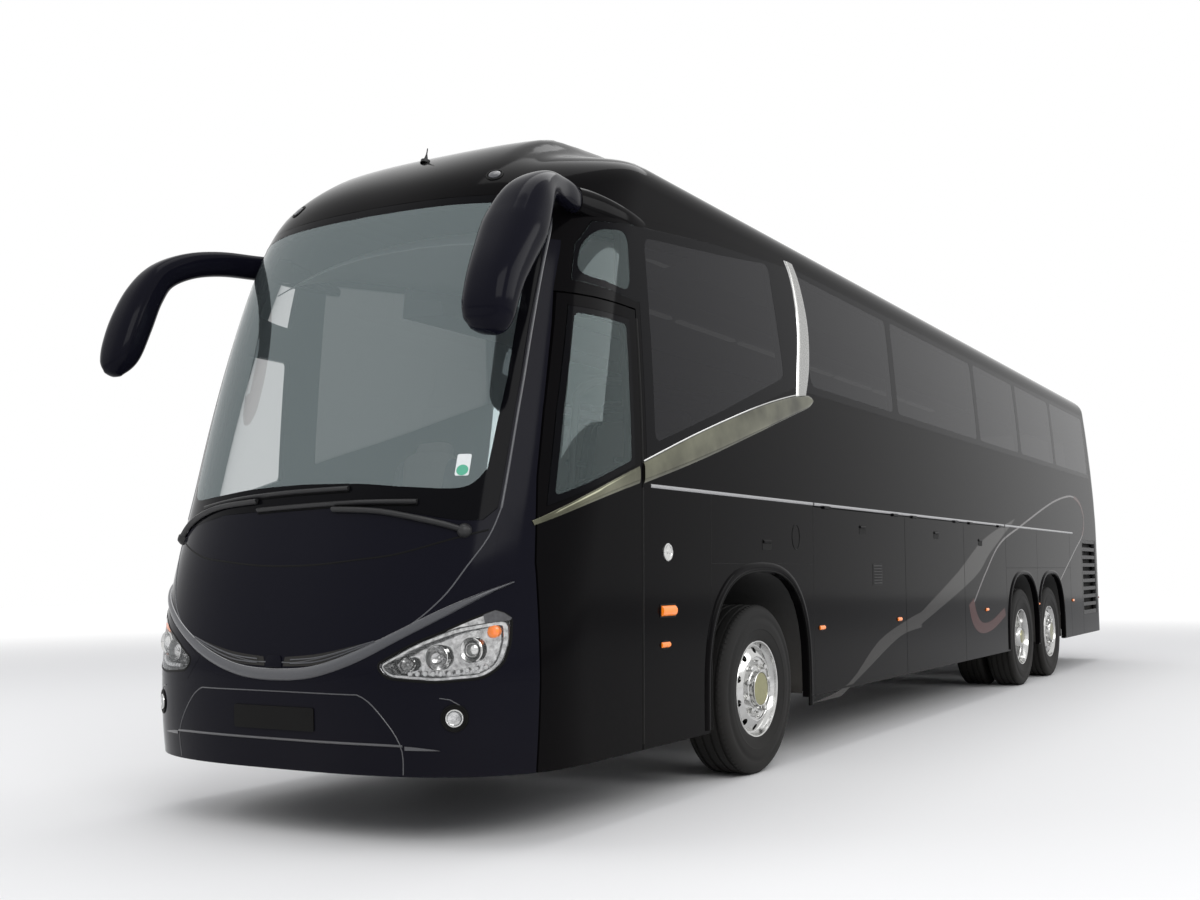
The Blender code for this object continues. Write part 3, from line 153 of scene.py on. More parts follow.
COLOUR, NUMBER = "NodeSocketColor", "NodeSocketFloat"
worn, start, end = new_group(
    "worn surface",
    (("Color", COLOUR, (1, 1, 1, 1)), ("Roughness", NUMBER, 0.5), ("Scale", NUMBER, 30.0),
     ("Variation", NUMBER, 0.2), ("Dust", NUMBER, 0.3), ("Dust top", NUMBER, 0.9)),
    (("Color", COLOUR), ("Roughness", NUMBER), ("Height", NUMBER)))
place = new_node(worn, "ShaderNodeTexCoord")
fine = new_node(worn, "ShaderNodeTexNoise", {"Detail": 5.0})
broad = new_node(worn, "ShaderNodeTexNoise", {"Scale": 1.7, "Detail": 6.0})
tone = new_node(worn, "ShaderNodeMapRange", {"From Min": 0.3, "From Max": 0.7})
less = new_node(worn, "ShaderNodeMath", {0: 1.0}, operation="SUBTRACT")
grey = new_node(worn, "ShaderNodeMix", {"Factor": 1.0}, data_type="RGBA", blend_type="MULTIPLY")
height = new_node(worn, "ShaderNodeSeparateXYZ")
low_down = new_node(worn, "ShaderNodeMapRange", {"From Min": 0.25, "To Min": 1.0, "To Max": 0.0})
patchy, amount = (new_node(worn, "ShaderNodeMath", operation="MULTIPLY") for _ in range(2))
dusty = new_node(worn, "ShaderNodeMix", {"B": (0.19, 0.165, 0.135, 1)}, data_type="RGBA")
rough_vary = new_node(worn, "ShaderNodeMath", {1: 0.06}, operation="MULTIPLY_ADD")
rough_dust = new_node(worn, "ShaderNodeMath", {1: 0.55}, operation="MULTIPLY_ADD")
wire(worn, ((place, "Object"), (fine, "Vector")), ((place, "Object"), (broad, "Vector")),
     ((start, "Scale"), (fine, "Scale")), ((fine, "Fac"), (tone, "Value")), ((start, "Variation"), (less, 1)),
     ((less, 0), (tone, "To Min")), ((start, "Color"), (grey, "A")), ((tone, "Result"), (grey, "B")),
     ((place, "Object"), (height, 0)), ((height, "Z"), (low_down, "Value")),
     ((start, "Dust top"), (low_down, "From Max")), ((low_down, "Result"), (patchy, 0)),
     ((broad, "Fac"), (patchy, 1)), ((patchy, 0), (amount, 0)), ((start, "Dust"), (amount, 1)),
     ((amount, 0), (dusty, "Factor")), ((grey, "Result"), (dusty, "A")), ((dusty, "Result"), (end, "Color")),
     ((fine, "Fac"), (rough_vary, 0)), ((start, "Roughness"), (rough_vary, 2)), ((amount, 0), (rough_dust, 0)),
     ((rough_vary, 0), (rough_dust, 2)), ((rough_dust, 0), (end, "Roughness")), ((fine, "Fac"), (end, "Height")))


def finish(name, colour, roughness, metallic=0.0, scale=30.0, variation=0.15, dust=0.25, dust_top=0.9,
           bump=0.0, coat=0.0, specular=0.5, emission=None):
    made = bpy.data.materials.new(name)
    made.use_nodes = True
    tree = made.node_tree
    shader = tree.nodes["Principled BSDF"]
    group = new_node(tree, "ShaderNodeGroup", {
        "Color": (*colour, 1), "Roughness": roughness, "Scale": scale, "Variation": variation, "Dust": dust,
        "Dust top": dust_top}, node_tree=worn)
    wire(tree, ((group, "Color"), (shader, "Base Color")), ((group, "Roughness"), (shader, "Roughness")))
    if bump:
        relief = new_node(tree, "ShaderNodeBump", {"Strength": bump, "Distance": 0.002})
        wire(tree, ((group, "Height"), (relief, "Height")), ((relief, "Normal"), (shader, "Normal")))
    shader.inputs["Metallic"].default_value = metallic
    shader.inputs["Coat Weight"].default_value = coat
    shader.inputs["Coat Roughness"].default_value = 0.03
    shader.inputs["Specular IOR Level"].default_value = specular
    shader.inputs["IOR"].default_value = 1.45
    if emission:
        shader.inputs["Emission Color"].default_value = (*emission[0], 1)
        shader.inputs["Emission Strength"].default_value = emission[1]
    return made


PAINT = finish("black paint", (0.0036, 0.0033, 0.0038), 0.06, scale=900, variation=0.3, dust=0.02, specular=0.035)
# The front is painted the same black as the sides; this lighter, bluer copy with a little more reflection paints the
# sky's reflection on forward faces.
PAINT_WITH_SKY_SHEEN = finish("black paint with painted sky sheen", (0.0060, 0.0060, 0.0110), 0.09, scale=900, variation=0.3, dust=0.03,
                     specular=0.06)
FRIT = finish("black glass border", (0.003, 0.003, 0.004), 0.04, scale=60, variation=0.1, dust=0.01, specular=0.05)
TRIM = finish("black rubber trim", (0.0035, 0.0035, 0.0035), 0.50, scale=200, variation=0.3, dust=0.03, bump=0.05,
              specular=0.12)
PLASTIC = finish("textured black plastic", (0.016, 0.016, 0.017), 0.42, scale=500, variation=0.3, dust=0.12,
                 bump=0.25)
GREY_TRIM = finish("grey moulding", (0.055, 0.057, 0.065), 0.28, scale=120, variation=0.15, coat=0.5)
CHROME = finish("chrome", (0.66, 0.66, 0.65), 0.06, metallic=1.0, scale=18, variation=0.10, dust=0.04)
# The window band's chrome is made dark and yellowish with broad light and dark patches: a painted reflection of dark
# surroundings, over the studio's real reflection.
BAND_CHROME_PAINTED_REFLECTION = finish("band chrome with painted reflections", (0.20, 0.20, 0.145), 0.05, metallic=1.0, scale=2.6, variation=0.75, dust=0.04)
BRUSHED = finish("brushed steel", (0.40, 0.40, 0.39), 0.24, metallic=1.0, scale=90, variation=0.18, dust=0.03)
STEEL = finish("dark chassis steel", (0.030, 0.030, 0.032), 0.55, metallic=0.4, scale=25, variation=0.35,
               dust=0.55, dust_top=1.3, bump=0.2)
CAST = finish("cast iron", (0.055, 0.052, 0.050), 0.62, metallic=0.6, scale=60, variation=0.4, dust=0.6,
              dust_top=1.2, bump=0.4)
TYRE = finish("tyre rubber", (0.0085, 0.0085, 0.0085), 0.66, scale=140, variation=0.3, dust=0.07, dust_top=1.2,
              bump=0.2, specular=0.25)
CLOTH = finish("seat cloth", (0.20, 0.185, 0.165), 0.92, scale=700, variation=0.35, dust=0.0, bump=0.5,
               specular=0.15)
PIPING = finish("seat side trim", (0.05, 0.05, 0.055), 0.7, scale=400, variation=0.3, dust=0.0, bump=0.3)
CARPET = finish("floor covering", (0.055, 0.055, 0.060), 0.95, scale=320, variation=0.4, dust=0.1, bump=0.6,
                specular=0.1)
LINING = finish("inner lining", (0.16, 0.16, 0.165), 0.8, scale=160, variation=0.15, dust=0.0, bump=0.2)
INNER = finish("primed inner skin", (0.010, 0.010, 0.011), 0.8, scale=60, variation=0.3, dust=0.0, bump=0.2)
LINER = finish("wheel arch liner", (0.010, 0.010, 0.010), 0.8, scale=40, variation=0.4, dust=0.25, dust_top=1.1,
               bump=0.3)
AMBER = finish("amber lens", (0.95, 0.22, 0.01), 0.12, scale=60, variation=0.2, dust=0.02, coat=0.6,
               emission=((1.0, 0.25, 0.02), 0.35))
RED = finish("red lens", (0.42, 0.008, 0.006), 0.10, scale=60, variation=0.2, dust=0.05, coat=0.8)
WHITE_LENS = finish("clear lens", (0.75, 0.75, 0.75), 0.08, scale=80, variation=0.15, dust=0.0, coat=0.8)
SILVER_PAINT = finish("silver strip", (0.42, 0.42, 0.43), 0.22, metallic=0.85, scale=200, variation=0.15,
                      dust=0.05)


def glass(name, colour, roughness, tint_and_reflection_film, metallic=0.0, specular=0.5):
    """Pane: mostly see-through, with a film of its colour that grows at flat angles; on the windscreen and door that
    teal grey film is a painted sky reflection.
    """
    made = bpy.data.materials.new(name)
    made.use_nodes = True
    tree = made.node_tree
    shader = tree.nodes["Principled BSDF"]
    shader.inputs["Base Color"].default_value = (*colour, 1)
    shader.inputs["Metallic"].default_value = metallic
    shader.inputs["Specular IOR Level"].default_value = specular
    weight = new_node(tree, "ShaderNodeLayerWeight", {"Blend": 0.20})
    spread = new_node(tree, "ShaderNodeMapRange", {"To Min": tint_and_reflection_film})
    place = new_node(tree, "ShaderNodeTexCoord")
    smear = new_node(tree, "ShaderNodeTexNoise", {"Scale": 3.0})
    wipe = new_node(tree, "ShaderNodeMapRange", {"To Min": roughness, "To Max": roughness + 0.02})
    wire(tree, ((place, "Object"), (smear, "Vector")), ((smear, "Fac"), (wipe, "Value")),
         ((wipe, "Result"), (shader, "Roughness")), ((weight, "Fresnel"), (spread, "Value")),
         ((spread, "Result"), (shader, "Alpha")))
    return made


# The windscreen's and door's teal grey colour, at least 42 and 30 per cent opaque, is a painted hazy sky reflection
# laid over the pane's real one.
SCREEN_GLASS = glass("windscreen glass with painted sky haze", (0.30, 0.36, 0.37), 0.015, 0.42, metallic=0.75)
SIDE_GLASS = glass("tinted side glass", (0.009, 0.009, 0.011), 0.02, 0.91, specular=0.09)
DOOR_GLASS = glass("door glass with painted sky haze", (0.16, 0.20, 0.20), 0.015, 0.30, metallic=0.5)
LAMP_GLASS = glass("lamp cover", (0.80, 0.82, 0.82), 0.01, 0.05)

floor_finish = finish("pale floor", (0.80, 0.80, 0.80), 0.65, scale=3.0, variation=0.03, dust=0.0, specular=0.2)
tree = floor_finish.node_tree
shader = tree.nodes["Principled BSDF"]
shader.inputs["Emission Strength"].default_value = 1.0
place = new_node(tree, "ShaderNodeTexCoord")
reach = new_node(tree, "ShaderNodeVectorMath", operation="LENGTH")
far_off = new_node(tree, "ShaderNodeMapRange", {"From Min": 9.0, "From Max": 26.0},
                   interpolation_type="SMOOTHSTEP")
path = new_node(tree, "ShaderNodeLightPath")
seen = new_node(tree, "ShaderNodeMath", operation="MAXIMUM")
glow = new_node(tree, "ShaderNodeMix", {"A": (0, 0, 0, 1), "B": (1, 1, 1, 1)}, data_type="RGBA")
dim = new_node(tree, "ShaderNodeMix", {"A": (0.80, 0.80, 0.80, 1), "B": (0, 0, 0, 1)}, data_type="RGBA")
share = new_node(tree, "ShaderNodeMath", operation="MULTIPLY")
wire(tree, ((place, "Object"), (reach, 0)), ((reach, "Value"), (far_off, "Value")),
     ((path, "Is Camera Ray"), (seen, 0)), ((path, "Is Transmission Ray"), (seen, 1)),
     ((far_off, "Result"), (share, 0)), ((seen, 0), (share, 1)), ((share, 0), (glow, "Factor")),
     ((share, 0), (dim, "Factor")), ((dim, "Result"), (shader, "Base Color")),
     ((glow, "Result"), (shader, "Emission Color")))


def mesh_from(work, name="mesh"):
    """Mesh of a finished bmesh."""
    data = bpy.data.meshes.new(name)
    work.to_mesh(data)
    work.free()
    return data


grid = bmesh.new()
bmesh.ops.create_grid(grid, x_segments=8, y_segments=8, size=45)
floor_data = mesh_from(grid, "floor")
floor_data.materials.append(floor_finish)
floor = placed("floor", floor_data)

# Smooth body surface. The real panels are pressed and moulded in one flowing shape.
# Panels, glass and trims are all laid on this surface, so that reflections run across them unbroken.
HALF, NOSE, TAIL, SILL, PEAK_Z = 1.275, -2.80, 11.27, 0.33, 3.70
NOSE_ROUND, TAIL_ROUND, SIDE_START, SIDE_END = 0.80, 0.35, -1.10, 10.74
WAIST_Z, LEAN_IN, EAVE_FRONT_Z, EAVE_RISE, POD_RISE = 1.75, 0.105, 3.18, 0.24, 0.12
NOSE_BACK = ((0.33, 0.035), (0.50, 0.012), (0.75, 0.0), (0.95, 0.010), (1.25, 0.060), (1.50, 0.125),
             (1.75, 0.190), (2.10, 0.270), (2.50, 0.370), (2.90, 0.490), (3.18, 0.600), (3.42, 0.750))


def ease(first, last, value):
    share = min(1.0, max(0.0, (value - first) / (last - first)))
    return share * share * (3 - 2 * share)


def smooth_between(table, value):
    """Curve without corners through a table of pairs."""
    value = min(max(value, table[0][0]), table[-1][0])
    for index, ((x0, y0), (x1, y1)) in enumerate(zip(table, table[1:])):
        if value <= x1:
            before = table[max(index - 1, 0)]
            after = table[min(index + 2, len(table) - 1)]
            m0 = (y1 - before[1]) / (x1 - before[0])
            m1 = (after[1] - y0) / (after[0] - x0)
            t = (value - x0) / (x1 - x0)
            run = x1 - x0
            return (y0 * (2 * t ** 3 - 3 * t * t + 1) + m0 * run * (t ** 3 - 2 * t * t + t)
                    + y1 * (3 * t * t - 2 * t ** 3) + m1 * run * (t ** 3 - t * t))
    return table[-1][1]


def wall_half(z):
    return HALF - LEAN_IN * (max(0.0, z - WAIST_Z) / 1.67) ** 1.6


def outline_at(kind, value, z):
    half = wall_half(z)
    if kind == "nose":
        angle = value * math.pi / 2
        return (half * math.sin(angle) ** (2 / 3.0),
                NOSE + smooth_between(NOSE_BACK, z) + NOSE_ROUND * (1 - math.cos(angle) ** (2 / 2.5)))
    if kind == "tail":
        angle = value * math.pi / 2
        return (half * math.cos(angle) ** (2 / 5.0),
                TAIL - 0.035 * max(0.0, z - 1.20) ** 1.5 - TAIL_ROUND * (1 - math.sin(angle) ** (2 / 3.0)))
    if value < SIDE_START:
        start = NOSE + smooth_between(NOSE_BACK, z) + NOSE_ROUND
        value = start + (value + 2.0) / 0.90 * (SIDE_START - start)
    return half, value


def skin_point(kind, value, step):
    edge = EAVE_FRONT_Z + EAVE_RISE * (ease(0.44, 1.0, value) if kind == "nose" else 1.0)
    if step <= 1:
        z = SILL + (edge - SILL) * step
        return Vector((*outline_at(kind, value, z), z))
    below = outline_at(kind, value, edge - 0.008)
    here = outline_at(kind, value, edge)
    first = Vector((*here, edge))
    lean = Vector(((here[0] - below[0]) / 0.008, (here[1] - below[1]) / 0.008, 1.0))
    peak = Vector((0, min(max(here[1], 0.20), TAIL - 1.60), PEAK_Z))
    second = first + lean * (PEAK_Z - edge) * 0.75
    third = peak + Vector((first.x, first.y - peak.y, 0)) * 0.80
    t = step - 1
    spot = (first * (1 - t) ** 3 + second * 3 * (1 - t) ** 2 * t + third * 3 * (1 - t) * t * t + peak * t ** 3)
    along = ease(-2.05, -1.35, spot.y) * (1 - ease(4.20, 5.00, spot.y))
    spot.z += POD_RISE * along * (1 - ease(0.62, 0.86, abs(spot.x)))
    return spot


ribs = [("nose", (index / 84) ** 1.15) for index in range(85)]
ribs += [("side", -2.0 + 0.12 * index) for index in range(1, 110) if -2.0 + 0.12 * index < SIDE_END]
ribs += [("tail", index / 30) for index in range(31)]
steps = [index / 84 for index in range(85)] + [1 + (index / 26) ** 1.2 for index in range(1, 27)]
skin_points = []
skin_faces = []
for side in (1, -1):
    base = len(skin_points)
    for kind, value in ribs:
        for step in steps:
            spot = skin_point(kind, value, step)
            skin_points.append(Vector((side * spot.x, spot.y + A, spot.z)))
    rows = len(steps)
    for column in range(len(ribs) - 1):
        for row in range(rows - 1):
            a = base + column * rows + row
            quad = (a, a + rows, a + rows + 1, a + 1)
            quad = quad if side > 0 else quad[::-1]
            skin_faces += [(quad[0], quad[1], quad[2]), (quad[0], quad[2], quad[3])]
skin_faces = [face for face in skin_faces
              if (skin_points[face[1]] - skin_points[face[0]]).cross(
                  skin_points[face[2]] - skin_points[face[0]]).length > 1e-9]
skin_normals = [Vector() for _ in skin_points]
for face in skin_faces:
    a, b, c = (skin_points[index] for index in face)
    outward = (b - a).cross(c - a)
    for index in face:
        skin_normals[index] += outward
merged = {}
for index, spot in enumerate(skin_points):
    merged.setdefault((round(spot.x, 4), round(spot.y, 4), round(spot.z, 4)), []).append(index)
for group in merged.values():
    total = sum((skin_normals[index] for index in group), Vector())
    for index in group:
        skin_normals[index] = total
for index, normal in enumerate(skin_normals):
    if abs(skin_points[index].x) < 1e-4:
        normal.x = 0.0
    skin_normals[index] = normal.normalized()
skin_tree = BVHTree.FromPolygons(skin_points, skin_faces)


def blended_normal(spot, face):
    """Normal of the smooth surface inside one of its triangles."""
    corners = [skin_points[index] for index in skin_faces[face]]
    weights = []
    for index in range(3):
        b, c = corners[(index + 1) % 3], corners[(index + 2) % 3]
        weights.append((b - spot).cross(c - spot).length)
    total = sum(weights)
    normal = sum((skin_normals[skin_faces[face][index]] * weights[index] for index in range(3)), Vector())
    return (normal / total).normalized()


def on_skin(spot):
    place, _, face, _ = skin_tree.find_nearest(spot)
    return place, blended_normal(place, face)


def aimed(view, u, v):
    """Point and normal of the body seen from one side at (station or width, height)."""
    if view in ("left", "right"):
        side = 1 if view == "left" else -1
        place, _, face, _ = skin_tree.ray_cast(Vector((3.0 * side, u + A, v)), Vector((-side, 0, 0)))
    elif view == "top":
        place, _, face, _ = skin_tree.ray_cast(Vector((u, v + A, 6.0)), Vector((0, 0, -1)))
    else:
        side = -1 if view == "front" else 1
        place, _, face, _ = skin_tree.ray_cast(Vector((u, 12.0 * side, v)), Vector((0, -side, 0)))
    if place is None:
        raise ValueError("nothing of the body at %s %.3f %.3f" % (view, u, v))
    return place, blended_normal(place, face)


def sliced(work, axis, positions):
    normal = Vector([1.0 if index == axis else 0.0 for index in range(3)])
    for position in positions:
        bmesh.ops.bisect_plane(work, geom=work.verts[:] + work.edges[:] + work.faces[:], dist=1e-6,
                               plane_co=normal * position, plane_no=normal)


def stepped(first, last, pitch):
    count = max(1, round((last - first) / pitch))
    return [first + (last - first) * index / count for index in range(count + 1)]


def add_piece(name, data, body, *materials, replace=()):
    item = placed(name, data)
    for material in materials:
        data.materials.append(material)
    if replace:
        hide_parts(*replace)
    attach(item, body)
    return item


# Body panels. Painted aluminium sheets and moulded skins, bonded to a steel frame and split where they unbolt.
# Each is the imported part's own mesh, finely divided, with its outer face laid on the smooth surface.
OUTER_REACH, FACING, SUNK_MOST, NEAREST = 0.035, 0.7, 0.004, 0.005
SCREEN = [(0.0, 1.58), (0.55, 1.56), (0.90, 1.50), (1.00, 1.50), (1.05, 1.56), (1.055, 2.20), (1.04, 2.80),
          (1.025, 3.06), (0.975, 3.16), (0.86, 3.205), (0.0, 3.22)]
screen_line = SCREEN + [(-x, z) for x, z in SCREEN[::-1] if x > 0]
GLAZING = [(-1.43, 1.84), (-0.60, 2.13), (0.60, 2.49), (10.75, 2.49), (10.75, 3.375), (0.90, 3.375),
           (-0.42, 3.27), (-1.47, 3.14), (-1.78, 3.09), (-1.91, 2.94), (-1.97, 2.74), (-1.43, 2.71)]
DOOR_PANE = [(-2.25, 1.57), (-1.55, 1.81), (-1.55, 2.60), (-2.01, 2.60), (-2.15, 2.05)]
REAR_GLASS = [(-0.92, 2.53), (0.92, 2.53), (0.86, 3.262), (-0.86, 3.262)]
SUNK = {"front_mask": ("front", screen_line), "rear_wall": ("rear", REAR_GLASS), "door_leaf": ("left", DOOR_PANE),
        "side_wall_left": ("left", GLAZING), "side_wall_right": ("right", GLAZING), "roof": ("left", GLAZING)}


def within(outline, u, v):
    """Whether a point lies within a closed outline."""
    found = False
    for (a, b), (c, d) in zip(outline, outline[1:] + outline[:1]):
        if (b > v) != (d > v) and u < a + (c - a) * (v - b) / (d - b):
            found = not found
    return found


LENGTH_CUTS = (stepped(-2.80 + A, -1.30 + A, 0.036) + stepped(4.10 + A, 5.10 + A, 0.10)
               + stepped(9.60 + A, 11.25 + A, 0.08))
ACROSS_CUTS = stepped(-1.24, 1.24, 0.062)
LEVEL_CUTS = stepped(0.36, 3.66, 0.066)


def smooth_panel(node, body, outside, inside, edge, keep_all=True):
    """The node's own mesh, finely divided, with its outer face on the smooth surface."""
    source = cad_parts[node]
    work = bmesh.new()
    work.from_mesh(source.data)
    bmesh.ops.transform(work, matrix=source.matrix_world, verts=work.verts)
    bmesh.ops.remove_doubles(work, verts=work.verts, dist=0.00002)
    bmesh.ops.dissolve_limit(work, angle_limit=math.radians(0.05), verts=work.verts, edges=work.edges)
    low_corner, high_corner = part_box(node)
    for axis, cuts in ((1, LENGTH_CUTS), (2, LEVEL_CUTS), (0, ACROSS_CUTS)):
        if axis or (node not in ("side_wall_left", "side_wall_right") and high_corner[0] - low_corner[0] > 0.2):
            sliced(work, axis, [cut for cut in cuts if low_corner[axis] < cut < high_corner[axis]])
    bmesh.ops.triangulate(work, faces=work.faces[:])
    work.normal_update()
    facing = set()
    inner = set()
    depth = {}
    for face in work.faces:
        centre = face.calc_center_median()
        place, normal = on_skin(centre)
        lean = face.normal.dot(normal)
        if node in SUNK:
            view, hole = SUNK[node]
            spot = (centre.x, centre.z) if view in ("front", "rear") else (centre.y - A, centre.z)
            way = normal.y * (-1 if view == "front" else 1) if view in ("front", "rear") else abs(normal.x)
            if way > 0.3 and (within(hole, *spot) or (node == "side_wall_right" and within(DOOR_PANE, *spot))):
                lean = min(lean, 0.0)
        depth[face] = (place - centre).dot(normal)
        if lean > FACING and abs(depth[face]) < OUTER_REACH:
            facing.add(face)
        elif lean < -FACING:
            inner.add(face)
    outer = set()
    while facing:
        group = [facing.pop()]
        for face in group:
            for edge_of in face.edges:
                for other in edge_of.link_faces:
                    if other in facing:
                        facing.discard(other)
                        group.append(other)
        area = sum(face.calc_area() for face in group)
        sunk = sum(face.calc_area() * depth[face] for face in group) / area
        if sunk > -SUNK_MOST and min(depth[face] for face in group) < NEAREST:
            outer.update(group)
    normals = {}
    for vert in {vert for face in outer for vert in face.verts}:
        vert.co, normals[vert] = on_skin(vert.co)
    if not keep_all:
        bmesh.ops.delete(work, geom=[face for face in work.faces if face not in outer], context="FACES")
    work.normal_update()
    for face in work.faces:
        face.smooth = True
        face.material_index = 0 if face in outer else (1 if face in inner else 2)
    work.verts.index_update()
    corners = [normals[vert] if face in outer else face.normal.copy()
               for face in work.faces for vert in face.verts]
    data = mesh_from(work, node + "_skin")
    data.normals_split_custom_set(corners)
    return add_piece(node + "_skin", data, body, outside, inside, edge, replace=(node,))


# Bumper, nose panel and mask take the lighter, bluer copy of the black paint: a painted sky reflection.
for node in ("bumper", "nose_panel", "front_mask"):
    smooth_panel(node, "coach_body", PAINT_WITH_SKY_SHEEN, INNER, PAINT_WITH_SKY_SHEEN)
for node in ("roof", "side_wall_left", "side_wall_right", "rear_wall"):
    smooth_panel(node, "coach_body", PAINT, INNER, PAINT)
for node in ("engine_lid", "door_leaf", "locker_front_left", "locker_middle_left", "locker_rear_left",
             "locker_front_right", "locker_middle_right", "locker_rear_right"):
    smooth_panel(node, node, PAINT, LINING, PAINT)


# Windscreen and windows. Bonded panes, clear in front and dark tinted at the sides. Black enamel is baked on
# their edges, which hides the glue and the pillars behind.
def flat_fill(outlines):
    """Flat mesh inside closed outlines; an outline inside another one is a hole."""
    curve = bpy.data.curves.new("outline", "CURVE")
    curve.dimensions = "2D"
    curve.fill_mode = "BOTH"
    for outline in outlines:
        spline = curve.splines.new("POLY")
        spline.points.add(len(outline) - 1)
        for point, (u, v) in zip(spline.points, outline):
            point.co = (u, v, 0.0, 1.0)
        spline.use_cyclic_u = True
    item = bpy.data.objects.new("outline", curve)
    data = bpy.data.meshes.new_from_object(item)
    bpy.data.objects.remove(item)
    return data


def curved(points, count=6):
    """Smooth open line through points."""
    line = []
    for index in range(len(points) - 1):
        p0, p1, p2, p3 = (Vector(points[min(max(index + step, 0), len(points) - 1)]) for step in (-1, 0, 1, 2))
        for step in range(count):
            t = step / count
            line.append(tuple(0.5 * (2 * p1 + (p2 - p0) * t + (2 * p0 - 5 * p1 + 4 * p2 - p3) * t * t
                                     + (3 * p1 - p0 - 3 * p2 + p3) * t ** 3)))
    return line + [tuple(points[-1])]


def offset(outline, by):
    """Closed outline moved outwards by a distance."""
    area = sum(a[0] * b[1] - b[0] * a[1] for a, b in zip(outline, outline[1:] + outline[:1]))
    turn = 1.0 if area > 0 else -1.0
    moved = []
    for index, here in enumerate(outline):
        before = Vector(outline[index - 1])
        after = Vector(outline[(index + 1) % len(outline)])
        runs = [(Vector(here) - before).normalized(), (after - Vector(here)).normalized()]
        normals = [Vector((run.y, -run.x)) * turn for run in runs]
        mid = (normals[0] + normals[1]).normalized()
        spot = Vector(here) + mid * (by / max(mid.dot(normals[0]), 0.5))
        moved.append((spot.x, spot.y))
    return moved


def strip(line, width):
    """Outline of a band along an open line."""
    sides = []
    for sign in (1, -1):
        row = []
        for index, here in enumerate(line):
            run = (Vector(line[min(index + 1, len(line) - 1)]) - Vector(line[max(index - 1, 0)])).normalized()
            spot = Vector(here) + Vector((-run.y, run.x)) * (sign * width / 2)
            row.append((spot.x, spot.y))
        sides.append(row)
    return sides[0] + sides[1][::-1]


def plate(name, view, outlines, material, body="coach_body", lift=0.0006, thick=0.002, crown=0.0, pitch=0.05,
          skirt=0.004, replace=()):
    """Sheet, film or moulding that lies on the body; crown rounds its face."""
    outlines = [list(outline) for outline in outlines]
    work = bmesh.new()
    work.from_mesh(flat_fill(outlines))
    bmesh.ops.remove_doubles(work, verts=work.verts, dist=0.00002)
    for axis in (0, 1):
        values = [vert.co[axis] for vert in work.verts]
        cuts = stepped(min(values), max(values), pitch)[1:-1]
        if axis == 0 and view in ("left", "right"):
            cuts += [u for u in stepped(-2.70, -1.25, 0.03) if min(values) < u < max(values)]
        if axis == 0 and view in ("front", "rear"):
            cuts += [u * way for u in stepped(0.80, 1.22, 0.018) for way in (1, -1)
                     if min(values) < u * way < max(values)]
        sliced(work, axis, cuts)
    if crown:
        bmesh.ops.subdivide_edges(work, edges=[edge for edge in work.edges if not edge.is_boundary], cuts=1)
    bmesh.ops.triangulate(work, faces=work.faces[:])
    segments = [(Vector(a), Vector(b)) for outline in outlines
                for a, b in zip(outline, outline[1:] + outline[:1])]
    normals = {}
    for vert in work.verts:
        spot = vert.co.to_2d()
        place, normal = aimed(view, spot.x, spot.y)
        rise = lift + thick
        if crown:
            near = 1.0
            for a, b in segments:
                run = b - a
                share = min(max((spot - a).dot(run) / max(run.length_squared, 1e-12), 0.0), 1.0)
                near = min(near, (spot - a - run * share).length)
            fall = 1 - min(near / (crown * 2.5), 1.0)
            rise += crown * math.sqrt(max(0.0, 1 - fall * fall))
        normals[vert] = normal
        vert.co = place + normal * rise
    work.normal_update()
    if sum(face.normal.dot(normals[face.verts[0]]) for face in work.faces) < 0:
        bmesh.ops.reverse_faces(work, faces=work.faces[:])
    front = set(work.faces)
    rim = [edge for edge in work.edges if edge.is_boundary]
    made = bmesh.ops.extrude_edge_only(work, edges=rim)["geom"]
    new_verts = {item for item in made if isinstance(item, bmesh.types.BMVert)}
    for vert in new_verts:
        source = min((other for edge in vert.link_edges for other in edge.verts if other in normals),
                     key=lambda other: (other.co - vert.co).length)
        vert.co = vert.co - normals[source] * (thick + skirt)
    work.normal_update()
    for face in work.faces:
        face.smooth = True
    corners = [normals[vert] if face in front else face.normal.copy()
               for face in work.faces for vert in face.verts]
    data = mesh_from(work, name)
    if crown:
        smoothed(data, 50)
    else:
        data.normals_split_custom_set(corners)
    return add_piece(name, data, body, material, replace=replace)


def smoothed(data, degrees):
    """Mesh shaded smooth, with the edges kept sharp that bend more than an angle."""
    data.shade_smooth()
    data.set_sharp_from_angle(angle=math.radians(degrees))
    return data


def mesh_of(points, faces, smooth_angle=None):
    data = bpy.data.meshes.new("mesh")
    data.from_pydata([tuple(point) for point in points], [], faces)
    return data if smooth_angle is None else smoothed(data, smooth_angle)


def quads(rows, wide, closed=False):
    """Faces between rows of points; closed joins the last point of each row to its first."""
    return [(row * wide + step, row * wide + (step + 1) % wide, (row + 1) * wide + (step + 1) % wide,
             (row + 1) * wide + step) for row in range(rows - 1) for step in range(wide if closed else wide - 1)]


def length_of(line):
    return sum((Vector(b) - Vector(a)).length for a, b in zip(line, line[1:]))


def spaced(line, count):
    """Points evenly spaced along a line."""
    lengths = [0.0]
    for a, b in zip(line, line[1:]):
        lengths.append(lengths[-1] + (Vector(b) - Vector(a)).length)
    made = []
    index = 0
    for step in range(count):
        reach = lengths[-1] * step / (count - 1)
        while index < len(line) - 2 and lengths[index + 1] < reach:
            index += 1
        run = max(lengths[index + 1] - lengths[index], 1e-9)
        share = min((reach - lengths[index]) / run, 1)
        made.append(tuple(Vector(line[index]).lerp(Vector(line[index + 1]), share)))
    return made


SKIRT, BEAD_SKIRT, RAISED = 0.004, 0.003, 0.0003


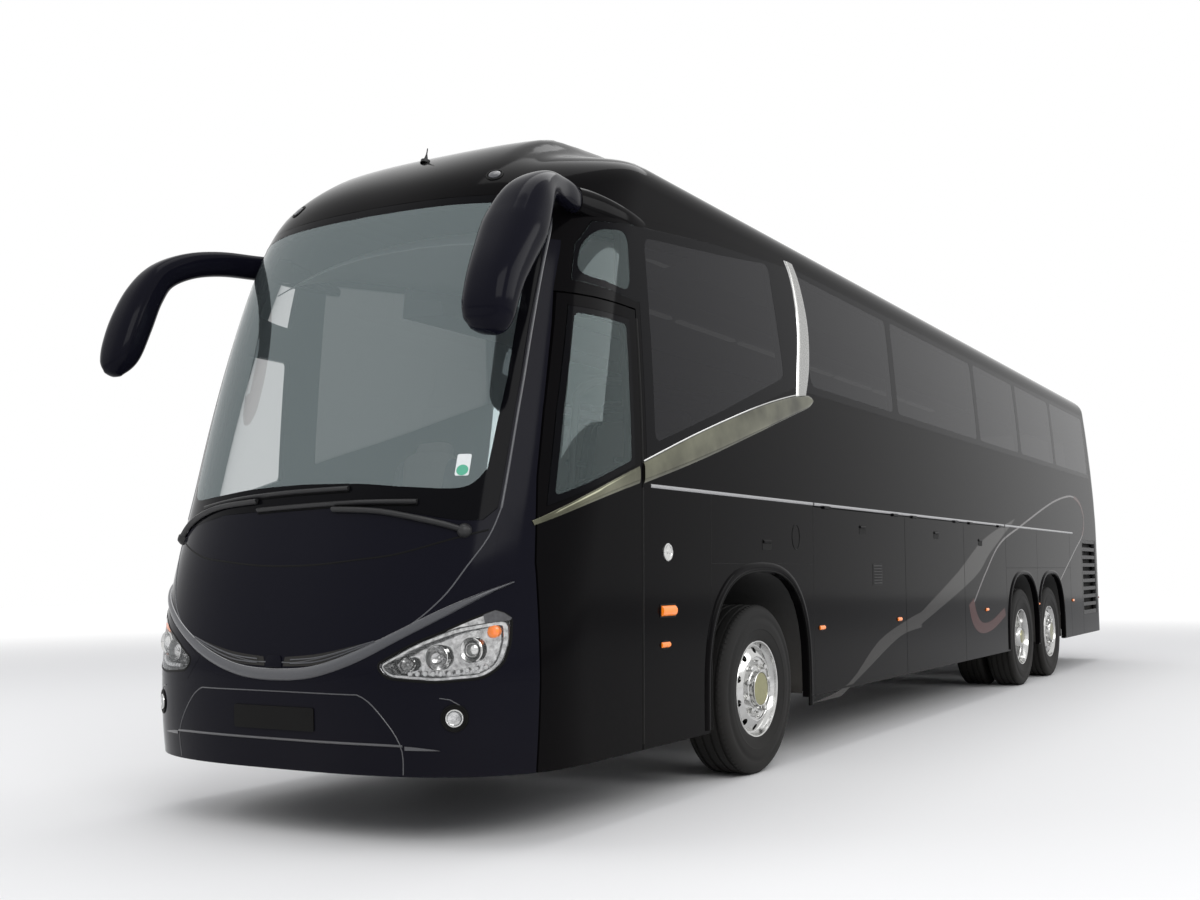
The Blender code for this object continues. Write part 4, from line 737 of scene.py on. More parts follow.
def ribbon(name, view, first, last, height, material, body="coach_body", lift=0.0, pitch=0.035, flat=4.0,
           across=9):
    """Moulded strip between two lines on the body, with a rounded back."""
    count = max(2, int(max(length_of(first), length_of(last)) / pitch) + 1)
    first, last = spaced(first, count), spaced(last, count)
    points = []
    shares = [0.0] + [(1 - math.cos(math.pi * index / (across - 1))) / 2 for index in range(across)] + [1.0]
    for a, b in zip(first, last):
        for index, share in enumerate(shares):
            spot = Vector(a).lerp(Vector(b), share)
            place, normal = aimed(view, spot.x, spot.y)
            rise = lift + height * max(0.0, 1 - abs(2 * share - 1) ** flat) + RAISED
            points.append(place + normal * (lift - SKIRT if index in (0, len(shares) - 1) else rise))
    wide = len(shares)
    faces = quads(count, wide) + [tuple(range(wide)), tuple(range((count - 1) * wide, count * wide))[::-1]]
    data = bpy.data.meshes.new(name)
    data.from_pydata(points, [], faces)
    work = bmesh.new()
    work.from_mesh(data)
    bmesh.ops.remove_doubles(work, verts=work.verts, dist=0.00001)
    work.normal_update()
    side_faces = [face for face in work.faces if len(face.verts) <= 4]
    if sum(face.normal.dot(on_skin(face.calc_center_median())[1]) for face in side_faces[::7]) < 0:
        bmesh.ops.reverse_faces(work, faces=work.faces[:])
    work.to_mesh(data)
    work.free()
    return add_piece(name, smoothed(data, 60), body, material)


def bead(name, view, line, width, height, material, body="coach_body", lift=0.0, pitch=0.035, flat=2.0,
         closed=False):
    """Narrow rounded strip laid along a line on the body."""
    across = 7
    line = list(line) + [line[0]] if closed else list(line)
    count = max(3, int(length_of(line) / pitch) + 1)
    spots = [aimed(view, *pair) for pair in spaced(line, count)]
    points = []
    for index, (here, normal) in enumerate(spots):
        before = spots[index - 1][0] if index or not closed else spots[-2][0]
        after = spots[index + 1][0] if index < count - 1 else (spots[1][0] if closed else here)
        before = before if index or closed else here
        side = normal.cross((after - before).normalized()).normalized()
        points.append(here - side * width / 2 + normal * (lift - BEAD_SKIRT))
        for step in range(across):
            share = -math.cos(math.pi * step / (across - 1))
            rise = lift + RAISED + height * max(0.0, 1 - abs(share) ** flat)
            points.append(here + side * share * width / 2 + normal * rise)
        points.append(here + side * width / 2 + normal * (lift - BEAD_SKIRT))
    wide = across + 2
    faces = quads(count, wide)
    if not closed:
        faces += [tuple(range(wide))[::-1], tuple(range((count - 1) * wide, count * wide))]
    middle_face = faces[(wide - 1) * (count // 2) + across // 2]
    a, b, c = (points[index] for index in middle_face[:3])
    if (b - a).cross(c - a).dot(spots[count // 2][1]) < 0:
        faces = [face[::-1] for face in faces]
    return add_piece(name, mesh_of(points, faces, 60), body, material)


def sided(line, side):
    """Line of the left half of the front, or its mirror image for the right half."""
    return [(side * x, z) for x, z in line]


def rounded(outline, radius, count=4):
    """Closed outline with its corners rounded."""
    made = []
    for index, here in enumerate(outline):
        here = Vector(here)
        a = Vector(outline[index - 1]) - here
        b = Vector(outline[(index + 1) % len(outline)]) - here
        reach = min(radius, a.length * 0.45, b.length * 0.45)
        first = here + a.normalized() * reach
        last = here + b.normalized() * reach
        for step in range(count + 1):
            t = step / count
            made.append(tuple(first * (1 - t) ** 2 + here * 2 * t * (1 - t) + last * t * t))
    return made


def oblong(u0, v0, u1, v1):
    """Outline of an upright rectangle."""
    return [(u0, v0), (u1, v0), (u1, v1), (u0, v1)]


SIDES = ((1, "left"), (-1, "right"))
ENAMEL = {"lift": 0.0003, "thick": 0.0004}
PANE = {"lift": 0.0, "thick": 0.0, "skirt": 0.005}
clear_half = curved([(0.0, 1.700), (0.35, 1.690), (0.65, 1.665), (0.90, 1.66), (0.985, 1.75)], 6)
clear_half += curved([(1.005, 2.20), (0.992, 2.80), (0.972, 3.02), (0.92, 3.115), (0.82, 3.155), (0.0, 3.17)], 6)
clear_line = clear_half + [(-x, z) for x, z in clear_half[::-1] if x > 0.001]
screen_edge, glazing_edge, door_edge, rear_edge = (
    offset(outline, -0.0015) for outline in (screen_line, GLAZING, DOOR_PANE, REAR_GLASS))
plate("windscreen_border", "front", [screen_edge, clear_line], FRIT, **ENAMEL)
PANE_TABLE = ((0.94, 0.70, 2.66), (2.78, 2.78, 5.17), (5.29, 5.29, 6.86), (6.98, 6.98, 8.61), (8.73, 8.73, 10.68))
panes = [rounded([(-1.94, 2.78), (-1.52, 2.75), (-1.505, 3.095), (-1.75, 3.055), (-1.88, 2.95)], 0.09),
         rounded([(-1.33, 1.95), (-0.55, 2.20), (0.46, 2.55), (0.35, 3.31), (-0.40, 3.21), (-1.33, 3.10)], 0.07)]
panes += [rounded([(low_front, 2.55), (rear, 2.55), (rear, 3.32), (high_front, 3.33)], 0.06)
          for low_front, high_front, rear in PANE_TABLE]
for side, word in SIDES:
    plate("glazing_border_" + word, word, [glazing_edge] + panes, FRIT, pitch=0.09, **ENAMEL)
    plate("front_window_border_" + word, word, [door_edge, rounded(offset(DOOR_PANE, -0.035), 0.03)], FRIT,
          "door_leaf" if side > 0 else "coach_body", **ENAMEL)
plate("rear_window_border", "rear", [rear_edge, rounded(offset(REAR_GLASS, -0.06), 0.06)], FRIT, **ENAMEL)
plate("windscreen_pane", "front", [screen_edge], SCREEN_GLASS, replace=("windscreen",), **PANE)
plate("rear_pane", "rear", [rear_edge], SIDE_GLASS, replace=("rear_window",), **PANE)
side_glass = GLAZING[:7] + [(-1.43, 3.148)]
quarter_glass = [(-1.43, 2.71), (-1.43, 3.148), (-1.47, 3.14), (-1.78, 3.09), (-1.91, 2.94), (-1.97, 2.74)]
for side, word in SIDES:
    plate("side_pane_" + word, word, [offset(side_glass, -0.0005)], SIDE_GLASS, pitch=0.09,
          replace=("side_glazing_" + word,), **PANE)
    plate("quarter_pane_" + word, word, [offset(quarter_glass, -0.0005)], DOOR_GLASS, **PANE)
plate("door_pane", "left", [door_edge], DOOR_GLASS, "door_leaf", replace=("door_glass",), **PANE)
plate("driver_pane", "right", [door_edge], DOOR_GLASS, replace=("driver_glass_right",), **PANE)

# Chromed side trims. Pressed stainless strips and a brushed pillar cover, clipped to the side panels.
# The front strip is split where the door opens, and a thin silver strip runs along the side over the lockers.
band_top = [(-1.462, 1.834), (-0.80, 2.054), (0.0, 2.292), (0.54, 2.424), (0.80, 2.468)]
band_low = [(-1.462, 1.722), (-0.83, 1.890), (-0.04, 2.122), (0.45, 2.268), (0.83, 2.380)]
door_top = [(-2.325, 1.500), (-2.0, 1.640), (-1.505, 1.812)]
door_low = [(-2.318, 1.476), (-2.0, 1.588), (-1.505, 1.722)]
pillar_front = [(0.640, 3.400), (0.715, 3.30), (0.762, 3.10), (0.756, 2.89), (0.700, 2.66), (0.650, 2.445)]
pillar_rear = [(0.815, 2.470), (0.905, 2.66), (0.952, 2.90), (0.935, 3.10), (0.860, 3.30), (0.780, 3.400)]
STRIP_ENDS, STRIP_Z = ((-1.39, 0.84), (0.86, 5.98), (6.02, 9.40)), 1.714
for side, word in SIDES:
    top_line = curved(band_top, 6) + curved([band_top[-1], (0.885, 2.474), (0.922, 2.448)], 4)[1:]
    low_line = curved(band_low, 6) + curved([band_low[-1], (0.897, 2.408), (0.926, 2.440)], 4)[1:]
    # The band's dark, patchy chrome colour is a painted reflection.
    ribbon("chrome_band_" + word, word, top_line, low_line, 0.009, BAND_CHROME_PAINTED_REFLECTION, flat=5.0, across=15)
    ribbon("chrome_band_front_" + word, word, curved(door_top, 6), curved(door_low, 6), 0.006, BAND_CHROME_PAINTED_REFLECTION,
           "door_leaf" if side > 0 else "coach_body", flat=4.0, across=11)
    ribbon("pillar_cover_" + word, word, curved(pillar_front, 5), curved(pillar_rear, 5)[::-1], 0.008, BRUSHED,
           flat=6.0, across=13)
    bead("band_rim_" + word, word, [(u, v + 0.007) for u, v in curved(band_top, 6)], 0.010, 0.005, CHROME)
    bead("pillar_rim_" + word, word, [(u - 0.006, v) for u, v in curved(pillar_front, 5)], 0.008, 0.006, CHROME)
    for index, (first, last) in enumerate(STRIP_ENDS):
        bead("silver_strip_%s_%d" % (word, index), word, [(first, STRIP_Z), (last, STRIP_Z)], 0.020, 0.004,
             SILVER_PAINT, pitch=0.5)

# Panel joints. Open joints between the bolted side panels, seen as dark lines.
# Each is a film of 4 or 5 mm width that lies on the paint.
uprights = ((-0.69, 0.345, 1.70), (0.84, 0.42, 1.70), (6.02, 0.42, 1.70), (7.42, 0.60, 1.70), (9.20, 0.42, 1.70),
            (9.93, 0.42, 1.70))
flats = ((-0.69, 0.84, 1.30), (7.44, 9.18, 1.27), (6.04, 7.40, 1.27))
for side, word in SIDES:
    for index, (aft, first, last) in enumerate(uprights):
        plate("joint_%s_%d" % (word, index), word, [oblong(aft - 0.0025, first, aft + 0.0025, last)], TRIM,
              lift=0.0001, thick=0.0003, pitch=0.3)
    for index, (first, last, z) in enumerate(flats):
        plate("level_joint_%s_%d" % (word, index), word, [oblong(first, z - 0.002, last, z + 0.002)], TRIM,
              lift=0.0001, thick=0.0003, pitch=0.3)

# Seams of the front. The bonnet flap is a moulded panel hung on hinges, with an open joint along its top.
# A satin bead of grey plastic runs round the flap's lower edge and up both sides of the windscreen.
bead_low = curved([(0.0, 0.838), (0.178, 0.842), (0.447, 0.900), (0.714, 0.990), (0.880, 1.130), (0.972, 1.287),
                   (1.035, 1.425), (1.062, 1.560)], 6)
screen_side = curved([(1.062, 1.560), (1.066, 2.20), (1.051, 2.80), (1.036, 3.06), (0.985, 3.165)], 6)
flap_top = [(1.03, 1.455), (0.936, 1.427), (0.66, 1.348), (0.43, 1.320), (0.20, 1.300)]
flap_line = curved(flap_top + [(0.0, 1.295)] + sided(flap_top, -1)[::-1], 6)
bead("flap_joint", "front", flap_line, 0.009, 0.0012, TRIM)
for side, word in SIDES:
    bead("flap_bead_" + word, "front", sided(bead_low, side), 0.007, 0.002, GREY_TRIM)
    bead("screen_bead_" + word, "front", sided(screen_side, side), 0.012, 0.004, GREY_TRIM)

# Grille slot. A dark crescent under the bonnet flap that lets air in, with two moulded bars in each half.
# The painted cover in the middle clips over the towing eye.
slot_top = curved([(0.60, 0.948), (0.306, 0.885), (0.071, 0.862)], 5)
slot_low = curved([(0.060, 0.818), (0.30, 0.836), (0.60, 0.935)], 5)
for side, word in SIDES:
    plate("slot_" + word, "front", [sided(slot_top + slot_low, side)], LINER, lift=0.0008, thick=0.0008)
    for index, share in enumerate((0.32, 0.70)):
        bar_line = [(side * (x * 0.97 + 0.01), z * (1 - share) + low_z * share) for (x, z), (_, low_z)
                    in zip(slot_top[:-1], slot_low[::-1][:-1])]
        bead("slot_bar_%s_%d" % (word, index), "front", bar_line, 0.008, 0.005, GREY_TRIM, lift=0.001)
cover_line = rounded([(-0.055, 0.812), (0.055, 0.812), (0.045, 0.868), (-0.045, 0.868)], 0.012)
# The towing cover takes the lighter, bluer copy of the black paint, a painted sky reflection.
plate("towing_cover", "front", [cover_line], PAINT_WITH_SKY_SHEEN, lift=0.002, thick=0.003, crown=0.002)

# Smile moulding. One grey plastic trim, clipped to the front, sweeps under the flap from lamp to lamp.
# It thins out to a fin over each headlamp, and a silver line runs along its upper edge.
outer_half = [(1.140, 1.206), (0.936, 1.070), (0.714, 0.948), (0.483, 0.838), (0.240, 0.768)]
inner_half = [(1.140, 1.214), (0.926, 1.108), (0.700, 0.992), (0.470, 0.890), (0.240, 0.824)]
outer_line = curved(outer_half + [(0.0, 0.750)] + sided(outer_half, -1)[::-1], 8)
inner_line = curved(inner_half + [(0.0, 0.808)] + sided(inner_half, -1)[::-1], 8)
ribbon("smile", "front", outer_line, inner_line, 0.014, GREY_TRIM, flat=2.6, across=13, pitch=0.025)
bead("smile_edge", "front", [(x, z - 0.003) for x, z in inner_line], 0.006, 0.004, SILVER_PAINT, lift=0.001,
     pitch=0.025)

# Bumper. A painted moulding with a raised edge round the number plate's panel and a ledge to each side; the grey on
# these edges and on the lip is a painted highlight.
# A bare plate is screwed on in the middle, and a fog lamp in a chromed ring is set in at each end.
edge_half = [(-0.735, 0.345), (-0.735, 0.470), (-0.660, 0.590), (-0.545, 0.692), (-0.40, 0.704)]
panel_edge = curved(edge_half + sided(edge_half, -1)[::-1], 5)
# Edge and lip are raised beads laid in grey moulding: painted highlights along the black bumper's edges.
bead("bumper_edge", "front", [(x * 0.99, z - 0.006) for x, z in panel_edge], 0.006, 0.003, GREY_TRIM)
lip = curved([(-0.735, 0.470), (-0.50, 0.474), (0.50, 0.474), (0.735, 0.470)], 6)
bead("bumper_lip", "front", lip, 0.012, 0.006, GREY_TRIM)
plate("number_plate", "front", [rounded(oblong(-0.26, 0.52, 0.26, 0.63), 0.012)], TRIM, lift=0.002, thick=0.004)


def ellipse(u, v, half_u, half_v, count=28):
    return [(u + half_u * math.cos(math.tau * index / count), v + half_v * math.sin(math.tau * index / count))
            for index in range(count)]


def lathe(name, profile, sides, seat, *materials, seams=()):
    """Turned piece: profile of (distance along the axis, radius), seat is its place and its axis."""
    work = bmesh.new()
    place, towards = seat
    axis = towards.normalized()
    turn = axis.to_track_quat("Z", "Y").to_matrix()
    rings = []
    for along, radius in profile:
        if radius < 1e-6:
            rings.append([work.verts.new(place + axis * along)])
            continue
        angles = [math.tau * index / sides for index in range(sides)]
        spots = [Vector((radius * math.cos(angle), radius * math.sin(angle), along)) for angle in angles]
        rings.append([work.verts.new(place + turn @ spot) for spot in spots])
    for index, (first, second) in enumerate(zip(rings, rings[1:])):
        slot = sum(1 for seam in seams if index >= seam)
        for step in range(sides):
            after = (step + 1) % sides
            corners = dict.fromkeys((first[step % len(first)], first[after % len(first)],
                                     second[after % len(second)], second[step % len(second)]))
            if len(corners) > 2:
                work.faces.new(list(corners)).material_index = slot
    bmesh.ops.recalc_face_normals(work, faces=work.faces[:])
    return add_piece(name, smoothed(mesh_from(work, name), 38), "coach_body", *materials)


BOWL = finish("lamp reflector", (0.66, 0.66, 0.66), 0.10, metallic=1.0, scale=38, variation=0.6, dust=0.0,
              bump=0.6)
FOG = (0.963, 0.598)
brow = [(x, z + 0.012) for x, z in ((0.904, 0.676), (0.940, 0.672), (0.968, 0.657), (0.990, 0.637),
                                    (1.009, 0.612))]
ledge = [(0.745, 0.452), (0.900, 0.451), (0.880, 0.456), (0.800, 0.466), (0.745, 0.470)]
for side, word in SIDES:
    seat = aimed("front", side * FOG[0], FOG[1])
    lathe("fog_lamp_" + word, ((-0.002, 0.064), (0.004, 0.062), (0.005, 0.058), (0.0014, 0.054), (0.0014, 0.041),
                               (0.007, 0.040), (0.008, 0.036), (0.006, 0.034), (0.003, 0.024), (0.0020, 0.010),
                               (0.0018, 0.0)), 40, seat, TRIM, CHROME, BOWL, seams=(4, 7))
    lathe("fog_bulb_" + word, ((0.001, 0.009), (0.0048, 0.008), (0.0060, 0.0)), 20, seat, WHITE_LENS)
    lathe("fog_glass_" + word, ((0.0070, 0.035), (0.0090, 0.022), (0.0100, 0.0)), 40, seat, LAMP_GLASS)
    # The grey brow over each fog lamp and the grey ledge beside it are painted highlights of the bumper's edges, on
    # raised strips.
    bead("fog_brow_" + word, "front", sided(brow, side)[::side], 0.005, 0.0025, GREY_TRIM)
    plate("bumper_ledge_" + word, "front", [sided(ledge, side)[::side]], GREY_TRIM, thick=0.003)

# Headlamps. A clear curved plastic cover, bonded over a reflecting bowl and sealed with a rubber bead.
# Two large round units, a small one, a row of light beads and an amber lamp in the corner sit in the bowl.
LAMP = [(0.605, 0.835), (0.66, 0.775), (0.89, 0.758), (1.07, 0.775), (1.13, 0.83), (1.15, 0.93), (1.14, 1.04),
        (0.966, 1.005), (0.803, 0.941)]
LAMP_EDGE = LAMP[:6] + [(1.146, 1.046), (1.121, 1.070), (1.093, 1.082), (1.054, 1.062), (1.005, 1.038),
                        (0.90, 0.982), (0.803, 0.943)]
LAMP_BROW = [(0.86, 0.964), (0.90, 0.982), (1.005, 1.038), (1.054, 1.062), (1.063, 1.024), (0.966, 1.005)]
LAMP_CAP = [(1.054, 1.062), (1.093, 1.082), (1.121, 1.070), (1.146, 1.046), (1.142, 1.035), (1.063, 1.024)]
BEZEL = finish("lamp inner trim", (0.09, 0.09, 0.095), 0.30, metallic=0.5, scale=60, variation=0.3, dust=0.0)


def inside_of(outline, depth):
    """Closed box behind an outline of the front: walls and a back that follow the body."""
    work = bmesh.new()
    work.from_mesh(flat_fill([outline]))
    bmesh.ops.remove_doubles(work, verts=work.verts, dist=0.00002)
    for axis in (0, 1):
        values = [vert.co[axis] for vert in work.verts]
        sliced(work, axis, stepped(min(values), max(values), 0.03)[1:-1])
    bmesh.ops.triangulate(work, faces=work.faces[:])
    base = {}
    for vert in work.verts:
        place, normal = aimed("front", vert.co.x, vert.co.y)
        base[vert] = place
        vert.co = place + Vector((0, depth, 0))
    rim = [edge for edge in work.edges if edge.is_boundary]
    made = bmesh.ops.extrude_edge_only(work, edges=rim)["geom"]
    for vert in [item for item in made if isinstance(item, bmesh.types.BMVert)]:
        vert.co.y -= depth - 0.004
    bmesh.ops.recalc_face_normals(work, faces=work.faces[:])
    return work


BOWL_DEPTH = 0.085
ROUND_UNITS = (("projector", 1.012, 0.902, 0.058, 0.030), ("main", 0.868, 0.868, 0.058, 0.042),
               ("position", 0.735, 0.835, 0.034, 0.036))
PROJECTOR = ((-0.030, 1.0), (0.012, 1.0), (0.016, 0.93), (0.013, 0.84), (0.002, 0.66), (-0.004, 0.62),
             (0.004, 0.60), (0.010, 0.50), (0.016, 0.30), (0.018, 0.0))
REFLECTOR = ((-0.020, 1.0), (0.008, 1.0), (0.010, 0.96), (0.006, 0.90), (-0.012, 0.72), (-0.026, 0.45),
             (-0.032, 0.20), (-0.016, 0.19), (-0.008, 0.10), (-0.006, 0.0))
for side, word in SIDES:
    name = "headlamp_" + word
    smooth_panel(name, "coach_body", LAMP_GLASS, LAMP_GLASS, LAMP_GLASS, keep_all=False)
    shape, edge_line, corner_line, brow, cap = [
        sided(line, side)[::side]
        for line in (rounded(LAMP, 0.04, 5), rounded(LAMP_EDGE, 0.04, 5), LAMP_EDGE, LAMP_BROW, LAMP_CAP)]
    # The surround takes the lighter, bluer copy of the black paint, a painted sky reflection.
    plate(name + "_surround", "front", [offset(corner_line, 0.042), edge_line], PAINT_WITH_SKY_SHEEN, lift=0.0004,
          thick=0.0004)
    plate(name + "_brow", "front", [brow], BOWL, lift=0.0004, thick=0.0010)
    plate(name + "_cap", "front", [cap], BEZEL, lift=0.0004, thick=0.0030)
    work = inside_of(offset(shape, -0.003), BOWL_DEPTH)
    add_piece(name + "_bowl", smoothed(mesh_from(work, name + "_bowl"), 30), "coach_body", BOWL)
    bead(name + "_seal", "front", edge_line, 0.013, 0.003, TRIM, pitch=0.015, closed=True)
    plate(name + "_rim", "front", [offset(shape, -0.004), offset(shape, -0.018)], BOWL, lift=-0.012, thick=0.001,
          skirt=0.01)
    for title, x, z, radius, depth in ROUND_UNITS:
        place = aimed("front", side * x, z)[0]
        seat = (place + Vector((0, depth, 0)), Vector((side * 0.18, -1, 0)))
        if title == "projector":
            lathe(name + "_" + title, [(along, radius * share) for along, share in PROJECTOR], 48, seat, CHROME,
                  BEZEL, CHROME, seams=(4, 6))
        else:
            lathe(name + "_" + title, [(along, radius * share) for along, share in REFLECTOR], 44, seat, CHROME,
                  BOWL, seams=(3,))
    place = aimed("front", side * 1.082, 0.985)[0]
    lathe(name + "_amber", ((-0.02, 0.030), (0.006, 0.029), (0.014, 0.020), (0.016, 0.0)), 32,
          (place + Vector((0, 0.030, 0)), Vector((side * 0.3, -1, 0))), AMBER)
    for index in range(10):
        x = 0.76 + 0.034 * index
        place = aimed("front", side * x, 0.795 + 0.03 * ease(0.9, 1.1, x))[0]
        lathe("%s_bead_%d" % (name, index), ((-0.010, 0.009), (0.0, 0.0115), (0.006, 0.008), (0.008, 0.0)), 20,
              (place + Vector((0, 0.022, 0)), Vector((side * 0.15, -1, 0))), WHITE_LENS)


# Repeats. What comes off one tool and is fitted evenly spaced: tread lugs, wheel nuts, hand holes, seat rows.
# One node group sets copies along a line, another sets them round a circle; the result is a plain mesh.
def repeat_group(name, round_circle):
    group = bpy.data.node_groups.new(name, "GeometryNodeTree")
    face = group.interface
    for title, kind, value in (
            ("Geometry", "Geometry", None), ("Piece", "Object", None), ("Count", "Int", 10),
            ("Radius", "Float", 0.1) if round_circle else ("Step", "Vector", None), ("Finish", "Material", None)):
        socket = face.new_socket(title, in_out="INPUT", socket_type="NodeSocket" + kind)
        if value is not None:
            socket.default_value = value
    face.new_socket("Geometry", in_out="OUTPUT", socket_type="NodeSocketGeometry")
    start, end, info, spread, solid, paint = (new_node(group, kind) for kind in (
        "NodeGroupInput", "NodeGroupOutput", "GeometryNodeObjectInfo", "GeometryNodeInstanceOnPoints",
        "GeometryNodeRealizeInstances", "GeometryNodeSetMaterial"))
    if round_circle:
        points = new_node(group, "GeometryNodeMeshCircle")
        order = new_node(group, "GeometryNodeInputIndex")
        share = new_node(group, "ShaderNodeMath", operation="DIVIDE")
        angle = new_node(group, "ShaderNodeMath", {1: math.tau}, operation="MULTIPLY")
        turn = new_node(group, "ShaderNodeCombineXYZ")
        wire(group, ((start, "Count"), (points, "Vertices")), ((start, "Radius"), (points, "Radius")),
             ((order, 0), (share, 0)), ((start, "Count"), (share, 1)), ((share, 0), (angle, 0)),
             ((angle, 0), (turn, "Z")), ((turn, 0), (spread, "Rotation")))
    else:
        points = new_node(group, "GeometryNodeMeshLine")
        wire(group, ((start, "Count"), (points, "Count")), ((start, "Step"), (points, "Offset")))
    wire(group, ((start, "Piece"), (info, "Object")), ((points, 0), (spread, "Points")),
         ((info, "Geometry"), (spread, "Instance")), ((spread, 0), (solid, 0)), ((solid, 0), (paint, "Geometry")),
         ((start, "Finish"), (paint, "Material")), ((paint, 0), (end, "Geometry")))
    return group


ROW = repeat_group("row of copies", False)
CIRCLE = repeat_group("circle of copies", True)


def repeated(group, data, material, **values):
    """Mesh of the repeated piece, made by the node group and kept as a plain mesh."""
    one = placed("one", data)
    host = placed("host", bpy.data.meshes.new("host"))
    nodes = host.modifiers.new("repeat", "NODES")
    nodes.node_group = group
    sockets = {item.name: item.identifier for item in group.interface.items_tree
               if item.item_type == "SOCKET" and item.in_out == "INPUT"}
    nodes[sockets["Piece"]] = one
    nodes[sockets["Finish"]] = material
    for name, value in values.items():
        nodes[sockets[name]] = value
    return taken_from(host, one)


def taken_from(host, other):
    """Finished mesh of an object; it and the object that it uses are removed."""
    bpy.context.view_layer.update()
    made = bpy.data.meshes.new_from_object(host.evaluated_get(bpy.context.evaluated_depsgraph_get()))
    for item in (other, host):
        bpy.data.objects.remove(item)
    return made


def joined(*datas):
    """One mesh from several, with their materials."""
    work = bmesh.new()
    materials = []
    for data in datas:
        before = len(work.faces)
        work.from_mesh(data)
        work.faces.ensure_lookup_table()
        own = list(data.materials)
        for face in work.faces[before:]:
            material = own[face.material_index] if own else None
            if material not in materials:
                materials.append(material)
            face.material_index = materials.index(material)
    made = mesh_from(work, "joined")
    for material in materials:
        made.materials.append(material)
    return made


def ring_mesh(profile, sides, material, angle=38):
    """Turned mesh about the Z axis, profile of (height, radius)."""
    points = []
    rings = []
    for along, radius in profile:
        count = sides if radius > 1e-6 else 1
        rings.append(list(range(len(points), len(points) + count)))
        angles = [math.tau * index / sides for index in range(count)]
        points += [(radius * math.cos(angle), radius * math.sin(angle), along) for angle in angles]
    faces = []
    for first, second in zip(rings, rings[1:]):
        for step in range(sides):
            after = (step + 1) % sides
            corners = dict.fromkeys((second[step % len(second)], second[after % len(second)],
                                     first[after % len(first)], first[step % len(first)]))
            if len(corners) > 2:
                faces.append(list(corners))
    data = mesh_of(points, faces, angle)
    data.materials.append(material)
    return data


def turned_out(data, filled=False):
    """Mesh whose faces all look outwards, with its open ends closed if asked."""
    work = bmesh.new()
    work.from_mesh(data)
    if filled:
        bmesh.ops.holes_fill(work, edges=work.edges[:])
    bmesh.ops.recalc_face_normals(work, faces=work.faces[:])
    work.to_mesh(data)
    work.free()
    return data


# Wheels. Rubber tyres with grooved treads on polished steel rims, held by ten nuts round a domed hub cap.
# The front and tag axles have one convex disc with hand holes; the drive axle has twin tyres and a deep dish.
AXLES = (("front", 0.0), ("drive", 6.75), ("tag", 8.10))
HUB_X, HUB_Z, TWIN_GAP = 1.1075, 0.522, 0.345
HUB_CAP = finish("hub cap", (0.34, 0.33, 0.18), 0.12, metallic=1.0, scale=30, variation=0.12, dust=0.04)
RIM_CHROME = finish("polished rim", (0.62, 0.62, 0.61), 0.10, metallic=1.0, scale=24, variation=0.12, dust=0.10,
                    dust_top=0.6)
tyre_side = ((0.112, 0.290), (0.124, 0.296), (0.131, 0.306), (0.136, 0.330), (0.1425, 0.360), (0.1435, 0.366),
             (0.1462, 0.370), (0.1472, 0.400), (0.1470, 0.425), (0.1440, 0.430), (0.1436, 0.452), (0.1450, 0.456),
             (0.1405, 0.484), (0.134, 0.500), (0.124, 0.511))
tread = []
for centre in (0.088, 0.030, -0.030, -0.088):
    tread += [(centre + 0.0095, 0.5205), (centre + 0.006, 0.5085), (centre - 0.006, 0.5085),
              (centre - 0.0095, 0.5205)]
tyre_profile = [*tyre_side, (0.114, 0.5175), *tread, (-0.114, 0.5175)]
tyre_profile += [(-along, radius) for along, radius in tyre_side[::-1]]
tyre_profile += [(-0.085, 0.286), (0.085, 0.286), tyre_side[0]]
tyre_data = ring_mesh(tyre_profile, 96, TYRE, 28)
lug = [(x * scale, y, height) for height, scale in ((0.100, 1.0), (0.112, 0.999), (0.1225, 0.984))
       for x, y in ((0.5105, -0.0125), (0.5105, 0.0125), (0.5216, 0.0105), (0.5216, -0.0105))]
lug_faces = [(3, 2, 1, 0), (8, 9, 10, 11)]
for level_index in (0, 4):
    lug_faces += [(level_index + a, level_index + b, level_index + b + 4, level_index + a + 4)
                  for a, b in ((0, 1), (1, 2), (2, 3), (3, 0))]
lug_data = mesh_of([(x - 0.5, y, z) for x, y, z in lug], lug_faces)
lugs = repeated(CIRCLE, lug_data, TYRE, Count=88, Radius=0.5)
far_lugs = lugs.copy()
far_lugs.transform(Matrix.Diagonal((1, 1, -1, 1)))
far_lugs.flip_normals()
tyre_whole = joined(tyre_data, lugs, far_lugs)

hex_nut = ring_mesh(((0.0, 0.024), (0.004, 0.024), (0.005, 0.019), (0.026, 0.018), (0.031, 0.013), (0.034, 0.0)),
                    6, RIM_CHROME, 20)


def single_disc():
    """Front and tag rim: a convex disc with ten round hand holes."""
    front_line = ((0.118, 0.297), (0.126, 0.300), (0.131, 0.296), (0.129, 0.289), (0.116, 0.285), (0.098, 0.279),
                  (0.088, 0.272), (0.087, 0.266), (0.094, 0.255), (0.106, 0.236), (0.118, 0.214), (0.123, 0.204),
                  (0.124, 0.199), (0.121, 0.195), (0.113, 0.193), (0.1125, 0.185), (0.1125, 0.118))
    back_line = ((0.098, 0.118), (0.098, 0.190), (0.104, 0.206), (0.092, 0.232), (0.076, 0.258), (0.070, 0.272),
                 (0.0, 0.278), (-0.11, 0.284), (-0.11, 0.290), (0.118, 0.297))
    data = ring_mesh(front_line + back_line, 96, RIM_CHROME, 30)
    data.flip_normals()
    return drilled(turned_out(data), 10, 0.241, 0.108, 0.0225, math.radians(28))


